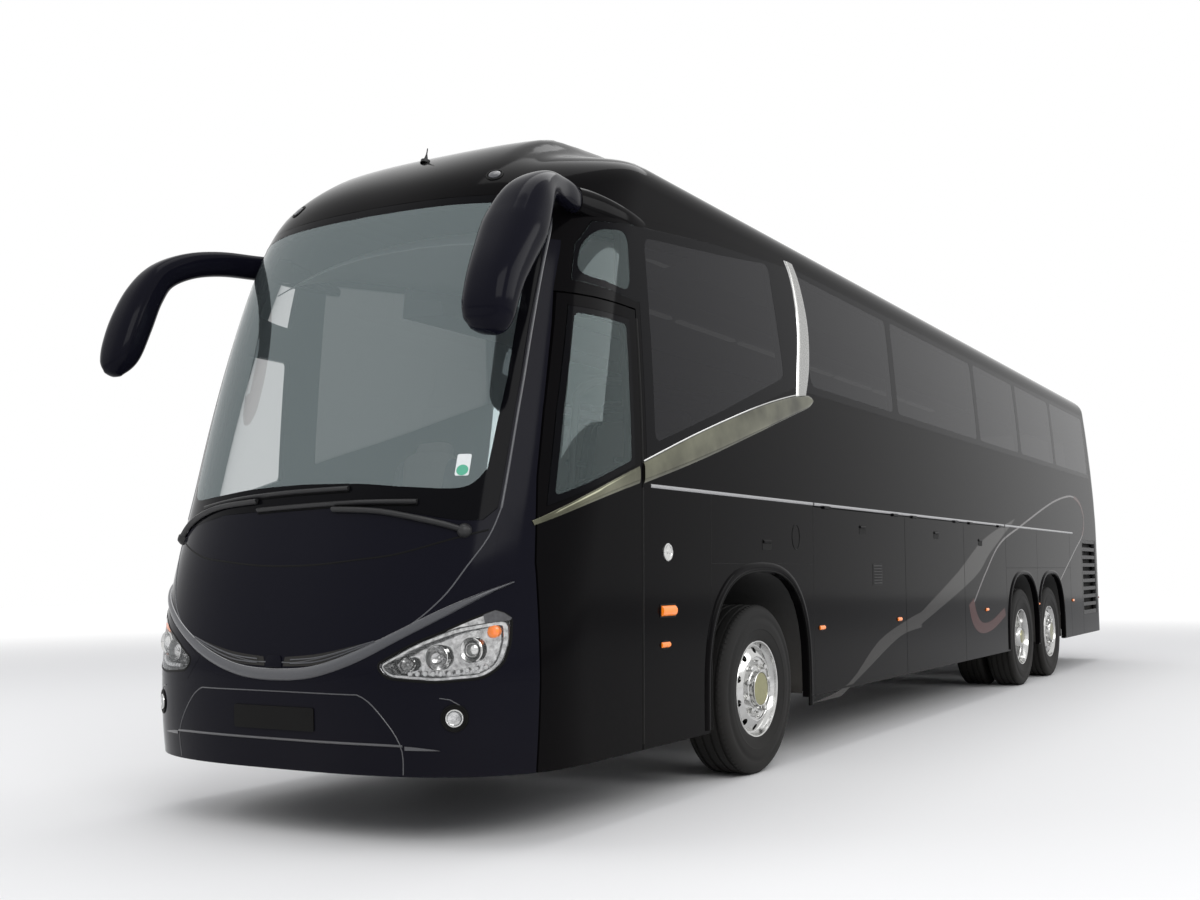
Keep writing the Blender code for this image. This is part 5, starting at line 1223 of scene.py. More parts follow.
def drilled(data, count, radius, height, hole, lean):
    """Cuts round holes through a disc."""
    drill = turned_out(ring_mesh(((-0.06, hole), (0.06, hole)), 24, RIM_CHROME), filled=True)
    drill.transform(Matrix.Translation((0, 0, height)) @ Matrix.Rotation(lean, 4, "Y"))
    drills = repeated(CIRCLE, drill, RIM_CHROME, Count=count, Radius=radius)
    body_item = placed("disc", data)
    drill_item = placed("drills", drills)
    step = body_item.modifiers.new("holes", "BOOLEAN")
    step.operation = "DIFFERENCE"
    step.solver = "EXACT"
    step.object = drill_item
    return smoothed(taken_from(body_item, drill_item), 30)


def with_nuts(disc, height, cap_profile, hub_line):
    nut = hex_nut.copy()
    nut.transform(Matrix.Translation((0, 0, height)))
    nuts = smoothed(repeated(CIRCLE, nut, RIM_CHROME, Count=10, Radius=0.158), 30)
    return joined(disc, nuts, ring_mesh(hub_line, 64, RIM_CHROME), ring_mesh(cap_profile, 64, HUB_CAP))


single = with_nuts(single_disc(), 0.1125,
                   ((0.1485, 0.100), (0.1505, 0.098), (0.1515, 0.060), (0.1525, 0.0)),
                   ((0.104, 0.121), (0.118, 0.120), (0.122, 0.114), (0.140, 0.111), (0.1535, 0.108), (0.156, 0.1045),
                    (0.1535, 0.101), (0.148, 0.100)))
dish = ring_mesh(((0.112, 0.296), (0.124, 0.300), (0.131, 0.296), (0.129, 0.289), (0.112, 0.283), (0.060, 0.274),
                  (0.052, 0.262), (-0.010, 0.258), (-0.026, 0.252), (-0.036, 0.240), (-0.046, 0.215), (-0.050, 0.200),
                  (-0.048, 0.190), (-0.042, 0.186), (-0.042, 0.118), (-0.056, 0.118), (-0.056, 0.188),
                  (-0.062, 0.215), (-0.050, 0.246), (-0.036, 0.262), (0.040, 0.270), (0.050, 0.282), (0.112, 0.296)),
                 96, RIM_CHROME, 30)
twin = with_nuts(drilled(turned_out(dish), 10, 0.222, -0.045, 0.019, 0.0), -0.042,
                 ((0.1300, 0.072), (0.1375, 0.066), (0.1395, 0.030), (0.140, 0.0)),
                 ((-0.052, 0.121), (-0.030, 0.120), (-0.020, 0.116), (0.090, 0.106), (0.112, 0.100), (0.122, 0.090),
                  (0.128, 0.078), (0.1302, 0.072)))
inner_rim = ring_mesh(((-0.112, 0.296), (-0.120, 0.300), (-0.128, 0.296), (-0.10, 0.283), (0.06, 0.272),
                       (0.085, 0.283), (0.085, 0.292), (-0.112, 0.296)), 64, STEEL)
drum = ring_mesh(((-0.10, 0.0), (-0.10, 0.205), (-0.02, 0.212), (0.060, 0.205), (0.064, 0.0)), 56, CAST, 30)
for group, aft in AXLES:
    for side, word in SIDES:
        if group == "drive":
            second = joined(tyre_whole, inner_rim)
            second.transform(Matrix.Translation((0, 0, -TWIN_GAP)))
            data = joined(tyre_whole, twin, second)
        else:
            data = joined(tyre_whole, single, drum)
        data.transform(Matrix.Translation((side * HUB_X, aft + A, HUB_Z))
                       @ Matrix.Rotation(side * math.pi / 2, 4, "Y"))
        name = "wheel_%s_%s" % (group, word)
        item = placed(name + "_full", smoothed(data, 32))
        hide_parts(name)
        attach(item, name)

# Wheel arches. A painted lip is screwed round each arch, with a rubber edge and a dark plastic liner within.
# Shields of the same plastic stand along the frame at the rear wheels and behind the radiator grille.
ARCHES = ((0.72, 1.25, 0.062, 0.35), (0.655, 1.20, 0.045, 0.42), (0.655, 1.20, 0.045, 0.42))
LINER_OUT, LINER_IN, STEPS_ROUND = 1.228, 0.58, 28


def arch_line(centre, half, top, grow_by, base):
    line = []
    for step in range(STEPS_ROUND + 1):
        angle = math.pi * step / STEPS_ROUND
        c, s = math.cos(angle), math.sin(angle)
        line.append((centre + (half + grow_by) * math.copysign(abs(c) ** (2 / 2.6), c),
                     HUB_Z + (top + grow_by - HUB_Z) * s ** (2 / 2.6)))
    return [(line[0][0], base)] + line + [(line[-1][0], base)]


for side, word in SIDES:
    for index, ((_, centre), (half, top, wide, base)) in enumerate(zip(AXLES, ARCHES)):
        outer, inner, middle = (arch_line(centre, half, top, grow_by, base) for grow_by in (wide, 0.001, 0.006))
        ribbon("arch_lip_%s_%d" % (word, index), word, outer, inner, 0.014, PAINT, flat=3.0, across=11,
               pitch=0.05)
        bead("arch_edge_%s_%d" % (word, index), word, middle, 0.010, 0.004, TRIM, lift=0.009, pitch=0.05)
        line = arch_line(centre, half, top, -0.002, 0.43)
        points = [(side * x, aft + A, z) for aft, z in line for x in (LINER_OUT, LINER_IN)]
        faces = [(2 * step, 2 * step + 1, 2 * step + 3, 2 * step + 2) for step in range(len(line) - 1)]
        if index == 0:
            faces += [(2 * step + 1, len(points), 2 * step + 3) for step in range(len(line) - 1)
                      if points[2 * step + 1][2] > 0.75 and points[2 * step + 3][2] > 0.75]
        points.append((side * LINER_IN, centre + A, 0.60))
        item = add_piece("arch_liner_%s_%d" % (word, index), mesh_of(points, faces, 40), "coach_body", LINER)
        thick = item.modifiers.new("thickness", "SOLIDIFY")
        thick.thickness = 0.004
        thick.offset = 0.0

shield_line = [(side * 0.40, aft + A, z) for side in (1, -1)
               for aft, z in ((6.05, 0.72), (8.80, 0.72), (8.80, 1.38), (6.05, 1.38))]
add_piece("frame_shields", mesh_of(shield_line, [(0, 1, 2, 3), (4, 7, 6, 5)], 40), "coach_body", LINER)
core_low, core_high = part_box("radiator_grille")
core_x = core_low[0] - 0.03
core_line = [(core_x, y, z) for y, z in ((core_low[1], core_low[2]), (core_high[1], core_low[2]),
                                         (core_high[1], core_high[2]), (core_low[1], core_high[2]))]
add_piece("radiator_core", mesh_of(core_line, [(0, 1, 2, 3)], 40), "coach_body", LINER)

# Mirrors. Glossy moulded housings that hang from one curved arm each, with a heated glass facing rearwards.
# A faired root lies along the roof's edge, and a thin rubber joint shows where the arm leaves it.
MIRROR_GLASS = finish("mirror glass", (0.72, 0.74, 0.75), 0.02, metallic=1.0, scale=20, variation=0.05, dust=0.0)
MIRROR_LINES = {
    "left": ((1.040, -1.760, 3.175, 0.052, 0.064), (1.120, -1.930, 3.180, 0.052, 0.064),
             (1.155, -2.100, 3.178, 0.054, 0.064), (1.178, -2.270, 3.140, 0.085, 0.076),
             (1.186, -2.400, 3.040, 0.130, 0.104), (1.188, -2.500, 2.880, 0.158, 0.124),
             (1.205, -2.600, 2.740, 0.148, 0.116), (1.220, -2.690, 2.600, 0.135, 0.106),
             (1.226, -2.740, 2.480, 0.128, 0.098), (1.224, -2.750, 2.415, 0.122, 0.088),
             (1.220, -2.758, 2.370, 0.106, 0.076), (1.216, -2.764, 2.345, 0.082, 0.056)),
    "right": ((1.040, -1.760, 3.085, 0.056, 0.072), (1.130, -1.940, 3.080, 0.056, 0.072),
              (1.178, -2.160, 3.062, 0.058, 0.072), (1.208, -2.360, 3.010, 0.064, 0.074),
              (1.232, -2.520, 2.920, 0.078, 0.078), (1.240, -2.620, 2.790, 0.100, 0.086),
              (1.242, -2.695, 2.620, 0.113, 0.092), (1.246, -2.745, 2.470, 0.108, 0.086),
              (1.250, -2.775, 2.390, 0.086, 0.068), (1.250, -2.790, 2.345, 0.050, 0.044)),
}


def housing(name, side, sections, material, glass_span, replace):
    """Smooth tube through sections of (x, station, height, half width, half depth)."""
    dense = curved([Vector(section) for section in sections], 6)
    sides = 40
    cap_height = 0.028
    points = []
    for index, row in enumerate(dense):
        here = Vector((side * row[0], row[1] + A, row[2]))
        before, after = (dense[min(max(index + step, 0), len(dense) - 1)] for step in (-1, 1))
        run = Vector((side * (after[0] - before[0]), after[1] - before[1], after[2] - before[2])).normalized()
        across = run.cross(Vector((0, -run.z, run.y))).normalized()
        if across.x < 0:
            across = -across
        other = run.cross(across).normalized()
        for step in range(sides):
            angle = math.tau * step / sides
            c, s = math.cos(angle), math.sin(angle)
            c, s = (math.copysign(abs(value) ** (2 / 2.7), value) for value in (c, s))
            points.append(here + across * row[3] * c + other * row[4] * s)
    rows = len(dense)
    faces = quads(rows, sides, True)
    for row, out in ((0, -1), (rows - 1, 1)):
        ring = points[row * sides:(row + 1) * sides]
        centre = sum(ring, Vector()) / sides
        beyond = sum(points[(row - out) * sides:(row - out + 1) * sides], Vector()) / sides
        run = (centre - beyond).normalized()
        last = [row * sides + step for step in range(sides)]
        for share, grow in ((0.86, 0.35), (0.55, 0.62), (0.2, 0.75)):
            start = len(points)
            points += [centre + (spot - centre) * share + run * cap_height * grow for spot in ring]
            ring_now = list(range(start, start + sides))
            for step in range(sides):
                after = (step + 1) % sides
                faces.append((last[step], last[after], ring_now[after], ring_now[step]))
            last = ring_now
        faces.append(tuple(last))
    work = bmesh.new()
    data = mesh_of(points, faces)
    work.from_mesh(data)
    bmesh.ops.recalc_face_normals(work, faces=work.faces[:])
    work.normal_update()
    pane = [face for face in work.faces if face.normal.y > 0.80 and abs(face.normal.x) < 0.45
            and glass_span[0] < face.calc_center_median().z < glass_span[1]]
    edge_ring = bmesh.ops.inset_region(work, faces=pane, thickness=0.008, depth=0.0)["faces"]
    bmesh.ops.inset_region(work, faces=pane, thickness=0.002, depth=-0.006)
    for face in work.faces:
        face.material_index = 0
        face.smooth = True
    for face in pane:
        face.material_index = 1
    for face in edge_ring:
        face.material_index = 2
    work.to_mesh(data)
    work.free()
    return add_piece(name, smoothed(data, 34), "coach_body", material, MIRROR_GLASS, TRIM, replace=replace)


ROOT = ((1.168, -1.22, 3.165, 0.020, 0.030), (1.155, -1.42, 3.175, 0.045, 0.055),
        (1.135, -1.60, 3.183, 0.055, 0.072), (1.115, -1.76, 3.185, 0.058, 0.078),
        (1.108, -1.88, 3.182, 0.055, 0.070))
for side, word in SIDES:
    # The housing takes the lighter, bluer copy of the black paint, a painted sky reflection; its root keeps the plain
    # black.
    housing("mirror_housing_" + word, side, MIRROR_LINES[word], PAINT_WITH_SKY_SHEEN, (2.46, 2.86), ("mirror_" + word,))
    drop = MIRROR_LINES[word][0][2] - 3.175
    root = [(x, aft, z + drop, wide, deep) for x, aft, z, wide, deep in ROOT]
    housing("mirror_root_" + word, side, root, PAINT, (0.0, 0.0), ())
    x, station, z, wide, tall = MIRROR_LINES[word][1]
    ring = [(side * (x + (wide + 0.001) * math.copysign(abs(math.cos(a)) ** 0.74, math.cos(a)) * 0.93), z +
             (tall + 0.001) * math.copysign(abs(math.sin(a)) ** 0.74, math.sin(a)))
            for a in (math.tau * step / 48 for step in range(48))]
    points = []
    for back in (-0.003, 0.003):
        points += [(u, station + A + back - (abs(u) - x) * 0.55, v) for u, v in ring]
    faces = [(step, (step + 1) % 48, 48 + (step + 1) % 48, 48 + step) for step in range(48)]
    faces = faces if side < 0 else [face[::-1] for face in faces]
    add_piece("mirror_joint_" + word, mesh_of(points, faces, 40), "coach_body", TRIM)

# Permit holder. A small white card with a green spot, without any print.
# It is stuck low in the corner of the windscreen, on the door's side.
CARD_WHITE = finish("white card", (0.75, 0.78, 0.78), 0.6, scale=60, variation=0.05, dust=0.0)
CARD_GREEN = finish("green card", (0.10, 0.42, 0.28), 0.6, scale=60, variation=0.05, dust=0.0)
plate("permit_card", "front", [rounded(oblong(0.850, 1.715, 0.912, 1.820), 0.010)], CARD_WHITE, lift=0.0008,
      thick=0.0006)
plate("permit_spot", "front", [ellipse(0.881, 1.742, 0.026, 0.026, 24)], CARD_GREEN, lift=0.0016, thick=0.0004)

# Wipers. Two pressed steel arms with plastic blades and rubber lips, parked low on the windscreen.
# Each is driven by a pivot at its outer end, and its rubber rests on the glass.
WIPERS = (
    ((-1.000, 1.452), [(-1.000, 1.452), (-0.86, 1.535), (-0.62, 1.600), (-0.30, 1.624)],
     [(-0.74, 1.594), (-0.45, 1.628), (-0.10, 1.648), (0.30, 1.656)]),
    ((0.936, 1.452), [(0.936, 1.452), (0.803, 1.492), (0.518, 1.548), (0.230, 1.566)],
     [(0.70, 1.580), (0.40, 1.584), (0.05, 1.578), (-0.283, 1.566)]),
)
for index, (pivot, arm, blade) in enumerate(WIPERS):
    name = "wiper_%d" % index
    bead(name + "_arm", "front", curved(arm, 8), 0.030, 0.020, PLASTIC, lift=0.008, pitch=0.02, flat=2.2)
    back_line, lip_line = ([(x, z + rise) for x, z in curved(blade, 8)] for rise in (0.012, -0.004))
    bead(name + "_blade", "front", back_line, 0.026, 0.016, PLASTIC, lift=0.006, pitch=0.02)
    bead(name + "_rubber", "front", lip_line, 0.008, 0.007, TRIM, lift=0.001, pitch=0.02)
    lathe(name + "_pivot", ((-0.004, 0.036), (0.010, 0.034), (0.024, 0.024), (0.032, 0.016), (0.034, 0.0)), 32,
          aimed("front", *pivot), PLASTIC)

# Side fittings. Flush handles, a fuel flap, a filler cap, marker lamps, indicators and an air grille.
# They are moulded or turned, set into the panels with rubber bases, and those on a locker door move with it.
MARKER_Z = 0.86
for side, word in SIDES:
    for index, (aft, z, node) in enumerate(((0.08, 1.42, "coach_body"), (1.80, 1.56, "locker_front_"),
                                            (3.63, 1.56, "locker_middle_"), (5.05, 1.52, "locker_rear_"))):
        body = node if node == "coach_body" else node + word
        shape = rounded(oblong(aft - 0.07, z - 0.035, aft + 0.07, z + 0.035), 0.018)
        plate("handle_plate_%s_%d" % (word, index), word, [shape], TRIM, body, lift=0.0005, thick=0.001)
        ribbon("handle_%s_%d" % (word, index), word, [(aft - 0.055, z + 0.008), (aft + 0.055, z + 0.008)],
               [(aft - 0.055, z + 0.030), (aft + 0.055, z + 0.030)], 0.008, PAINT, body, lift=0.001)
    bead("fuel_flap_" + word, word, ellipse(0.54, 1.48, 0.062, 0.085, 40), 0.006, 0.003, TRIM, pitch=0.02,
         closed=True)
    lathe("filler_cap_" + word, ((0.0, 0.050), (0.006, 0.049), (0.010, 0.044), (0.009, 0.036), (0.006, 0.034),
                                 (0.006, 0.012), (0.011, 0.010), (0.012, 0.0)), 40, aimed(word, -1.21, 1.36), CHROME)
    plate("turn_lamp_base_" + word, word, [rounded(oblong(-1.30, 1.005, -1.12, 1.08), 0.012)], TRIM, lift=0.001,
          thick=0.002)
    ribbon("turn_lamp_" + word, word, [(-1.285, 1.014), (-1.135, 1.014)], [(-1.285, 1.071), (-1.135, 1.071)], 0.018,
           AMBER, lift=0.002, flat=3.0)
    for index, aft in enumerate((-1.24, 0.97, 2.60, 5.23, 7.43, 9.30, 11.10)):
        body = "coach_body"
        if 0.85 < aft < 2.77:
            body = "locker_front_" + word
        elif 4.49 < aft < 6.01:
            body = "locker_rear_" + word
        plate("marker_base_%s_%d" % (word, index), word, [ellipse(aft, MARKER_Z, 0.058, 0.026, 28)], TRIM, body,
              thick=0.0014)
        low_line, high_line = ([(aft - 0.044, z), (aft + 0.044, z)] for z in (MARKER_Z - 0.015, MARKER_Z + 0.015))
        ribbon("marker_%s_%d" % (word, index), word, low_line, high_line, 0.011, AMBER if aft < 11 else RED, body,
               lift=0.001, flat=2.4, pitch=0.012)
    plate("vent_" + word, word, [rounded(oblong(2.00, 1.135, 2.22, 1.305), 0.01)], LINER, "locker_front_" + word,
          lift=0.0005, thick=0.001)
    for index in range(7):
        z = 1.155 + 0.022 * index
        bead("vent_slat_%s_%d" % (word, index), word, [(2.02, z), (2.20, z)], 0.010, 0.006, PLASTIC,
             "locker_front_" + word, lift=0.0008, pitch=0.2)

# Livery. Thin painted bands sweep up the side: a grey diagonal, a fine light arc and a red brown sickle.
# They are sprayed over the finished panels, so each is cut where a locker door opens and moves with it.
BAND_GREY = finish("grey band", (0.030, 0.028, 0.026), 0.10, scale=900, variation=0.3, dust=0.03, specular=0.10)
ARC_GREY = finish("light arc", (0.16, 0.15, 0.15), 0.12, scale=900, variation=0.25, dust=0.03, specular=0.12)
SICKLE_RED = finish("red brown band", (0.060, 0.010, 0.008), 0.10, scale=900, variation=0.3, dust=0.03,
                    specular=0.10)
SPLITS = (0.84, 2.78, 4.48, 6.02)
SPLIT_BODIES = ("coach_body", "locker_front_", "locker_middle_", "locker_rear_", "coach_body")


def crossing(outline, aft_first, aft_last, z_first, z_last):
    """Part of an outline within a rectangle."""
    made = list(outline)
    for axis, limit, sign in ((0, aft_first, 1), (0, aft_last, -1), (1, z_first, 1), (1, z_last, -1)):
        kept = []
        for here, after in zip(made, made[1:] + made[:1]):
            one, two = sign * (here[axis] - limit), sign * (after[axis] - limit)
            if one >= 0:
                kept.append(here)
            if one * two < 0:
                share = one / (one - two)
                kept.append(tuple(Vector(here).lerp(Vector(after), share)))
        made = kept
        if len(made) < 3:
            return []
    return made


def livery(name, word, outline, material, lift=0.0002):
    """Painted shape, cut where the locker doors open."""
    edges = (-5.0,) + SPLITS + (20.0,)
    pieces = []
    for index, body in enumerate(SPLIT_BODIES):
        span = (edges[index] + 0.004, edges[index + 1] - 0.004)
        levels = ((0.0, 4.0, body),)
        if body != "coach_body":
            levels = ((0.426, 1.692, body + word), (1.702, 4.0, "coach_body"), (0.0, 0.412, "coach_body"))
        pieces += [(crossing(outline, *span, low_z, high_z), owner) for low_z, high_z, owner in levels]
    for index, (part, body) in enumerate(pieces):
        wide, tall = (max(values) - min(values) for values in zip(*part)) if part else (0.0, 0.0)
        if wide > 0.01 and tall > 0.003:
            plate("%s_%s_%d" % (name, word, index), word, [part], material, body, lift=lift, thick=0.0002,
                  skirt=0.0004, pitch=0.12)


diagonal = curved([(0.80, 0.36), (1.46, 0.44), (2.093, 0.705), (2.74, 0.838), (3.169, 0.90)], 4)
diagonal += curved([(3.169, 0.771), (2.60, 0.72), (1.80, 0.50), (1.30, 0.36)], 4)
tail_end = curved([(3.169, 0.90), (4.274, 1.235), (5.20, 1.56), (6.457, 1.800)], 4)
tail_end += curved([(6.30, 1.735), (5.40, 1.420), (4.807, 1.175), (3.169, 0.80)], 4)
arc_line = curved([(4.788, 0.948), (5.239, 1.235), (5.8, 1.522), (6.665, 1.721), (8.155, 2.029), (9.10, 2.165),
                   (9.626, 2.184), (10.00, 2.10), (10.159, 1.919), (10.02, 1.70), (9.529, 1.5), (8.558, 1.103)], 8)
sickle = curved([(4.60, 0.92), (4.72, 0.74), (5.00, 0.64), (5.45, 0.66), (5.95, 0.78)], 6)
sickle += curved([(5.90, 0.86), (5.42, 0.75), (5.06, 0.74), (4.86, 0.84), (4.78, 0.98)], 6)
for side, word in SIDES:
    livery("diagonal", word, diagonal, BAND_GREY)
    livery("diagonal_end", word, tail_end, BAND_GREY)
    livery("sickle", word, sickle, SICKLE_RED, 0.0004)
    for index in range(0, len(arc_line) - 1, 8):
        red = 48 <= index <= 64
        livery("arc_%d" % index, word, strip(arc_line[index:index + 9], 0.045 if red else 0.022),
               SICKLE_RED if red else ARC_GREY, 0.0005)


# Seats. Cloth covered foam on tube frames: two places to a row, with crowned cushions and wrapped head parts.
# The rows are bolted to a rail on the floor, and the driver has a wider seat on a plastic pedestal.
def pad(material, size, place, tilt=0.0, crown=0.0, square=4.5, cuts=7):
    """Closed pad: rounded box of full size (x, y, z) whose broad faces are crowned."""
    work = bmesh.new()
    bmesh.ops.create_cube(work, size=2.0)
    bmesh.ops.subdivide_edges(work, edges=work.edges[:], cuts=cuts, use_grid_fill=True)
    for vert in work.verts:
        x, y, z = vert.co
        length = (abs(x) ** square + abs(y) ** square + abs(z) ** square) ** (1 / square)
        x, y, z = x / length, y / length, z / length
        z *= 1 + crown * (1 - x * x) * (1 - y * y)
        vert.co = (x * size[0] / 2, y * size[1] / 2, z * size[2] / 2)
    data = mesh_from(work, "pad")
    data.transform(Matrix.Translation(place) @ Matrix.Rotation(tilt, 4, "X"))
    data.shade_smooth()
    data.materials.append(material)
    return data


def bar_mesh(low_corner, high_corner, material):
    return pad(material, [b - a for a, b in zip(low_corner, high_corner)],
               [(a + b) / 2 for a, b in zip(low_corner, high_corner)], square=12, cuts=2)


SEAT_FLOOR, FIRST_ROW, ROW_COUNT, ROW_PITCH = 1.554, 0.55, 12, 0.80
PAIR_X = 0.705
for side, word in SIDES:
    parts = []
    for middle in (0.487, 0.922):
        x = side * middle
        parts.append(pad(CLOTH, (0.415, 0.46, 0.13), (x, 0.235, 0.325), 0.06, 0.25))
        parts.append(pad(CLOTH, (0.405, 0.115, 0.56), (x, 0.545, 0.60), -0.20))
        parts.append(pad(PIPING, (0.350, 0.125, 0.20), (x, 0.640, 0.940), -0.16))
        for edge in (-0.185, 0.185):
            parts.append(pad(PIPING, (0.055, 0.145, 0.54), (x + edge, 0.530, 0.59), -0.20, 0.0, 3.0, 4))
    for middle in (0.285, PAIR_X):
        parts.append(bar_mesh((side * middle - 0.018, 0.20, 0.52), (side * middle + 0.018, 0.53, 0.56), PLASTIC))
    middle = side * PAIR_X
    parts.append(bar_mesh((middle - 0.40, 0.10, 0.215), (middle + 0.40, 0.46, 0.255), STEEL))
    parts.append(bar_mesh((middle - 0.04, 0.16, 0.0), (middle + 0.04, 0.34, 0.24), STEEL))
    one = joined(*parts)
    one.transform(Matrix.Translation((0, FIRST_ROW + A, SEAT_FLOOR)))
    rows = None
    for index, material in enumerate(list(one.materials)):
        work = bmesh.new()
        work.from_mesh(one)
        bmesh.ops.delete(work, geom=[face for face in work.faces if face.material_index != index], context="FACES")
        made = repeated(ROW, mesh_from(work, "part"), material, Count=ROW_COUNT, Step=(0.0, ROW_PITCH, 0.0))
        rows = made if rows is None else joined(rows, made)
    rail = bar_mesh((middle - 0.08, 0.50 + A, SEAT_FLOOR), (middle + 0.08, 9.95 + A, SEAT_FLOOR + 0.03), STEEL)
    seats = smoothed(joined(rows, rail), 45)
    item = add_piece("seat_rows_" + word, seats, "coach_body", replace=("seats_" + word,))
DRIVER_X = -0.63
driver_parts = [
    pad(CLOTH, (0.48, 0.50, 0.13), (DRIVER_X, -1.265, 1.42), 0.04, 0.25),
    pad(CLOTH, (0.46, 0.115, 0.62), (DRIVER_X, -0.955, 1.72), -0.14),
    pad(CLOTH, (0.26, 0.10, 0.17), (DRIVER_X, -0.880, 2.01), -0.10),
    bar_mesh((DRIVER_X - 0.20, -1.42, 0.974), (DRIVER_X + 0.20, -1.02, 1.06), PLASTIC),
    bar_mesh((DRIVER_X - 0.12, -1.34, 1.06), (DRIVER_X + 0.12, -1.10, 1.36), PLASTIC)]
for edge in (-0.20, 0.20):
    driver_parts.append(pad(PIPING, (0.075, 0.15, 0.56), (DRIVER_X + edge, -0.970, 1.70), -0.14, 0.0, 3.0, 5))
    arm_x = DRIVER_X + edge * 1.12
    driver_parts.append(bar_mesh((arm_x - 0.02, -1.24, 1.62), (arm_x + 0.02, -0.98, 1.66), PLASTIC))
driver_data = joined(*driver_parts)
driver_data.transform(Matrix.Translation((0, A, 0)))
driver_item = add_piece("driver_seat_padded", smoothed(driver_data, 45), "coach_body", replace=("driver_seat",))

# Cab. A soft moulded hood lies over the dashboard's instruments, with a lower one beside it.
# The steering wheel is steel with a rubber cover, three plastic spokes and a boss, on a column that leans back.
hood = joined(pad(PLASTIC, (0.62, 0.24, 0.16), (DRIVER_X, -2.17, 1.515), 0.25, 0.2, 3.2),
              pad(PLASTIC, (0.60, 0.26, 0.13), (0.16, -2.26, 1.49), 0.1, 0.2, 3.2))
hood.transform(Matrix.Translation((0, A, 0)))
add_piece("instrument_hood", hood, "coach_body")
RIM_RADIUS, RIM_THICK, RIM_SIDES, RIM_STEPS = 0.235, 0.0155, 16, 72
wheel_turn = Matrix.Translation((DRIVER_X, -1.86 + A, 1.44)) @ Matrix.Rotation(math.radians(-28), 4, "X")
rim_points = []
for step in range(RIM_STEPS):
    angle = math.tau * step / RIM_STEPS
    for turn_step in range(RIM_SIDES):
        round_angle = math.tau * turn_step / RIM_SIDES
        reach = RIM_RADIUS + RIM_THICK * math.cos(round_angle)
        rim_points.append(wheel_turn @ Vector((reach * math.cos(angle), reach * math.sin(angle),
                                               RIM_THICK * math.sin(round_angle))))
rim_faces = [(step * RIM_SIDES + t, ((step + 1) % RIM_STEPS) * RIM_SIDES + t,
              ((step + 1) % RIM_STEPS) * RIM_SIDES + (t + 1) % RIM_SIDES, step * RIM_SIDES + (t + 1) % RIM_SIDES)
             for step in range(RIM_STEPS) for t in range(RIM_SIDES)]
rim_mesh = mesh_of(rim_points, rim_faces, 60)
rim_mesh.materials.append(TRIM)
spokes = []
for index in range(3):
    spoke = pad(PLASTIC, (0.235, 0.045, 0.014), (0.1175, 0, -0.004), 0, 0.2, 4, 4)
    spoke.transform(Matrix.Rotation(math.tau * (index / 3 + 0.25), 4, "Z"))
    spokes.append(spoke)
boss = pad(PLASTIC, (0.125, 0.125, 0.045), (0, 0, 0), 0, 0.2, 2.6, 5)
stem = ring_mesh(((-0.14, 0.0), (-0.14, 0.03), (-0.02, 0.05), (-0.01, 0.0)), 32, PLASTIC)
for data in (boss, stem, *spokes):
    data.transform(wheel_turn)
add_piece("steering_wheel_covered", joined(rim_mesh, boss, stem, *spokes), "steering_wheel",
          replace=("steering_wheel",))

# Saloon roof. A pale lining with two lamp strips runs between the luggage racks, and curves down in front.
# The lining is a thin moulded sheet fixed under the roof's frame, and the lamps have frosted plastic covers.
CEILING = finish("ceiling lining", (0.42, 0.42, 0.43), 0.85, scale=220, variation=0.1, dust=0.0, bump=0.15)
STRIP_LAMP = finish("strip lamp cover", (0.80, 0.80, 0.78), 0.35, scale=40, variation=0.05, dust=0.0,
                    emission=((1.0, 1.0, 0.98), 0.15))
CEILING_HALF, ACROSS = 0.98, 13
ceiling_points = []
ceiling_line = ((-1.90, 3.05), (-1.70, 3.16), (-1.30, 3.26), (-0.60, 3.34), (0.40, 3.40), (4.00, 3.42),
                (9.90, 3.42))
ceiling_row = curved([Vector(pair) for pair in ceiling_line], 5)
for aft, z in ceiling_row:
    for step in range(ACROSS):
        x = -CEILING_HALF + 2 * CEILING_HALF * step / (ACROSS - 1)
        ceiling_points.append((x, aft + A, z - 0.16 * abs(x) ** 2.4))
ceiling_faces = [(row * ACROSS + step, (row + 1) * ACROSS + step, (row + 1) * ACROSS + step + 1,
                  row * ACROSS + step + 1) for row in range(len(ceiling_row) - 1) for step in range(ACROSS - 1)]
ceiling_item = add_piece("ceiling_lining", mesh_of(ceiling_points, ceiling_faces, 50), "coach_body", CEILING)
ceiling_wall = ceiling_item.modifiers.new("thickness", "SOLIDIFY")
ceiling_wall.thickness = 0.006
for side, word in SIDES:
    x = side * 0.44
    tube = joined(*[bar_mesh((x - 0.03, first + A, 3.365), (x + 0.03, first + 1.12 + A, 3.385), STRIP_LAMP)
                    for first in (-0.4, 0.8, 2.0, 3.2, 4.4, 5.6, 6.8, 8.0)])
    add_piece("strip_lamps_" + word, tube, "coach_body")

# Door rubbers. A thick black seal, moulded and pushed onto the door's rear edge, closes the gap behind it.
# It comes in two lengths, below and above the chromed strip.
for name, low_end, high_end in (("door_rubber", 0.36, 1.70), ("door_rubber_high", 1.83, 2.615)):
    bead(name, "left", [(-1.474, low_end), (-1.474, high_end)], 0.022, 0.004, TRIM, "door_leaf", pitch=0.1)

# Door handrail. A plastic covered tube, bent from one length, bows across the inside of the door's glass.
# It is screwed to the leaf at both ends and moves with it.
rail_line = curved([Vector(spot) for spot in ((1.200, -2.050, 1.62), (1.196, -2.000, 2.06), (1.196, -1.943, 2.17),
                                              (1.200, -1.790, 2.235), (1.198, -1.560, 2.262))], 8)


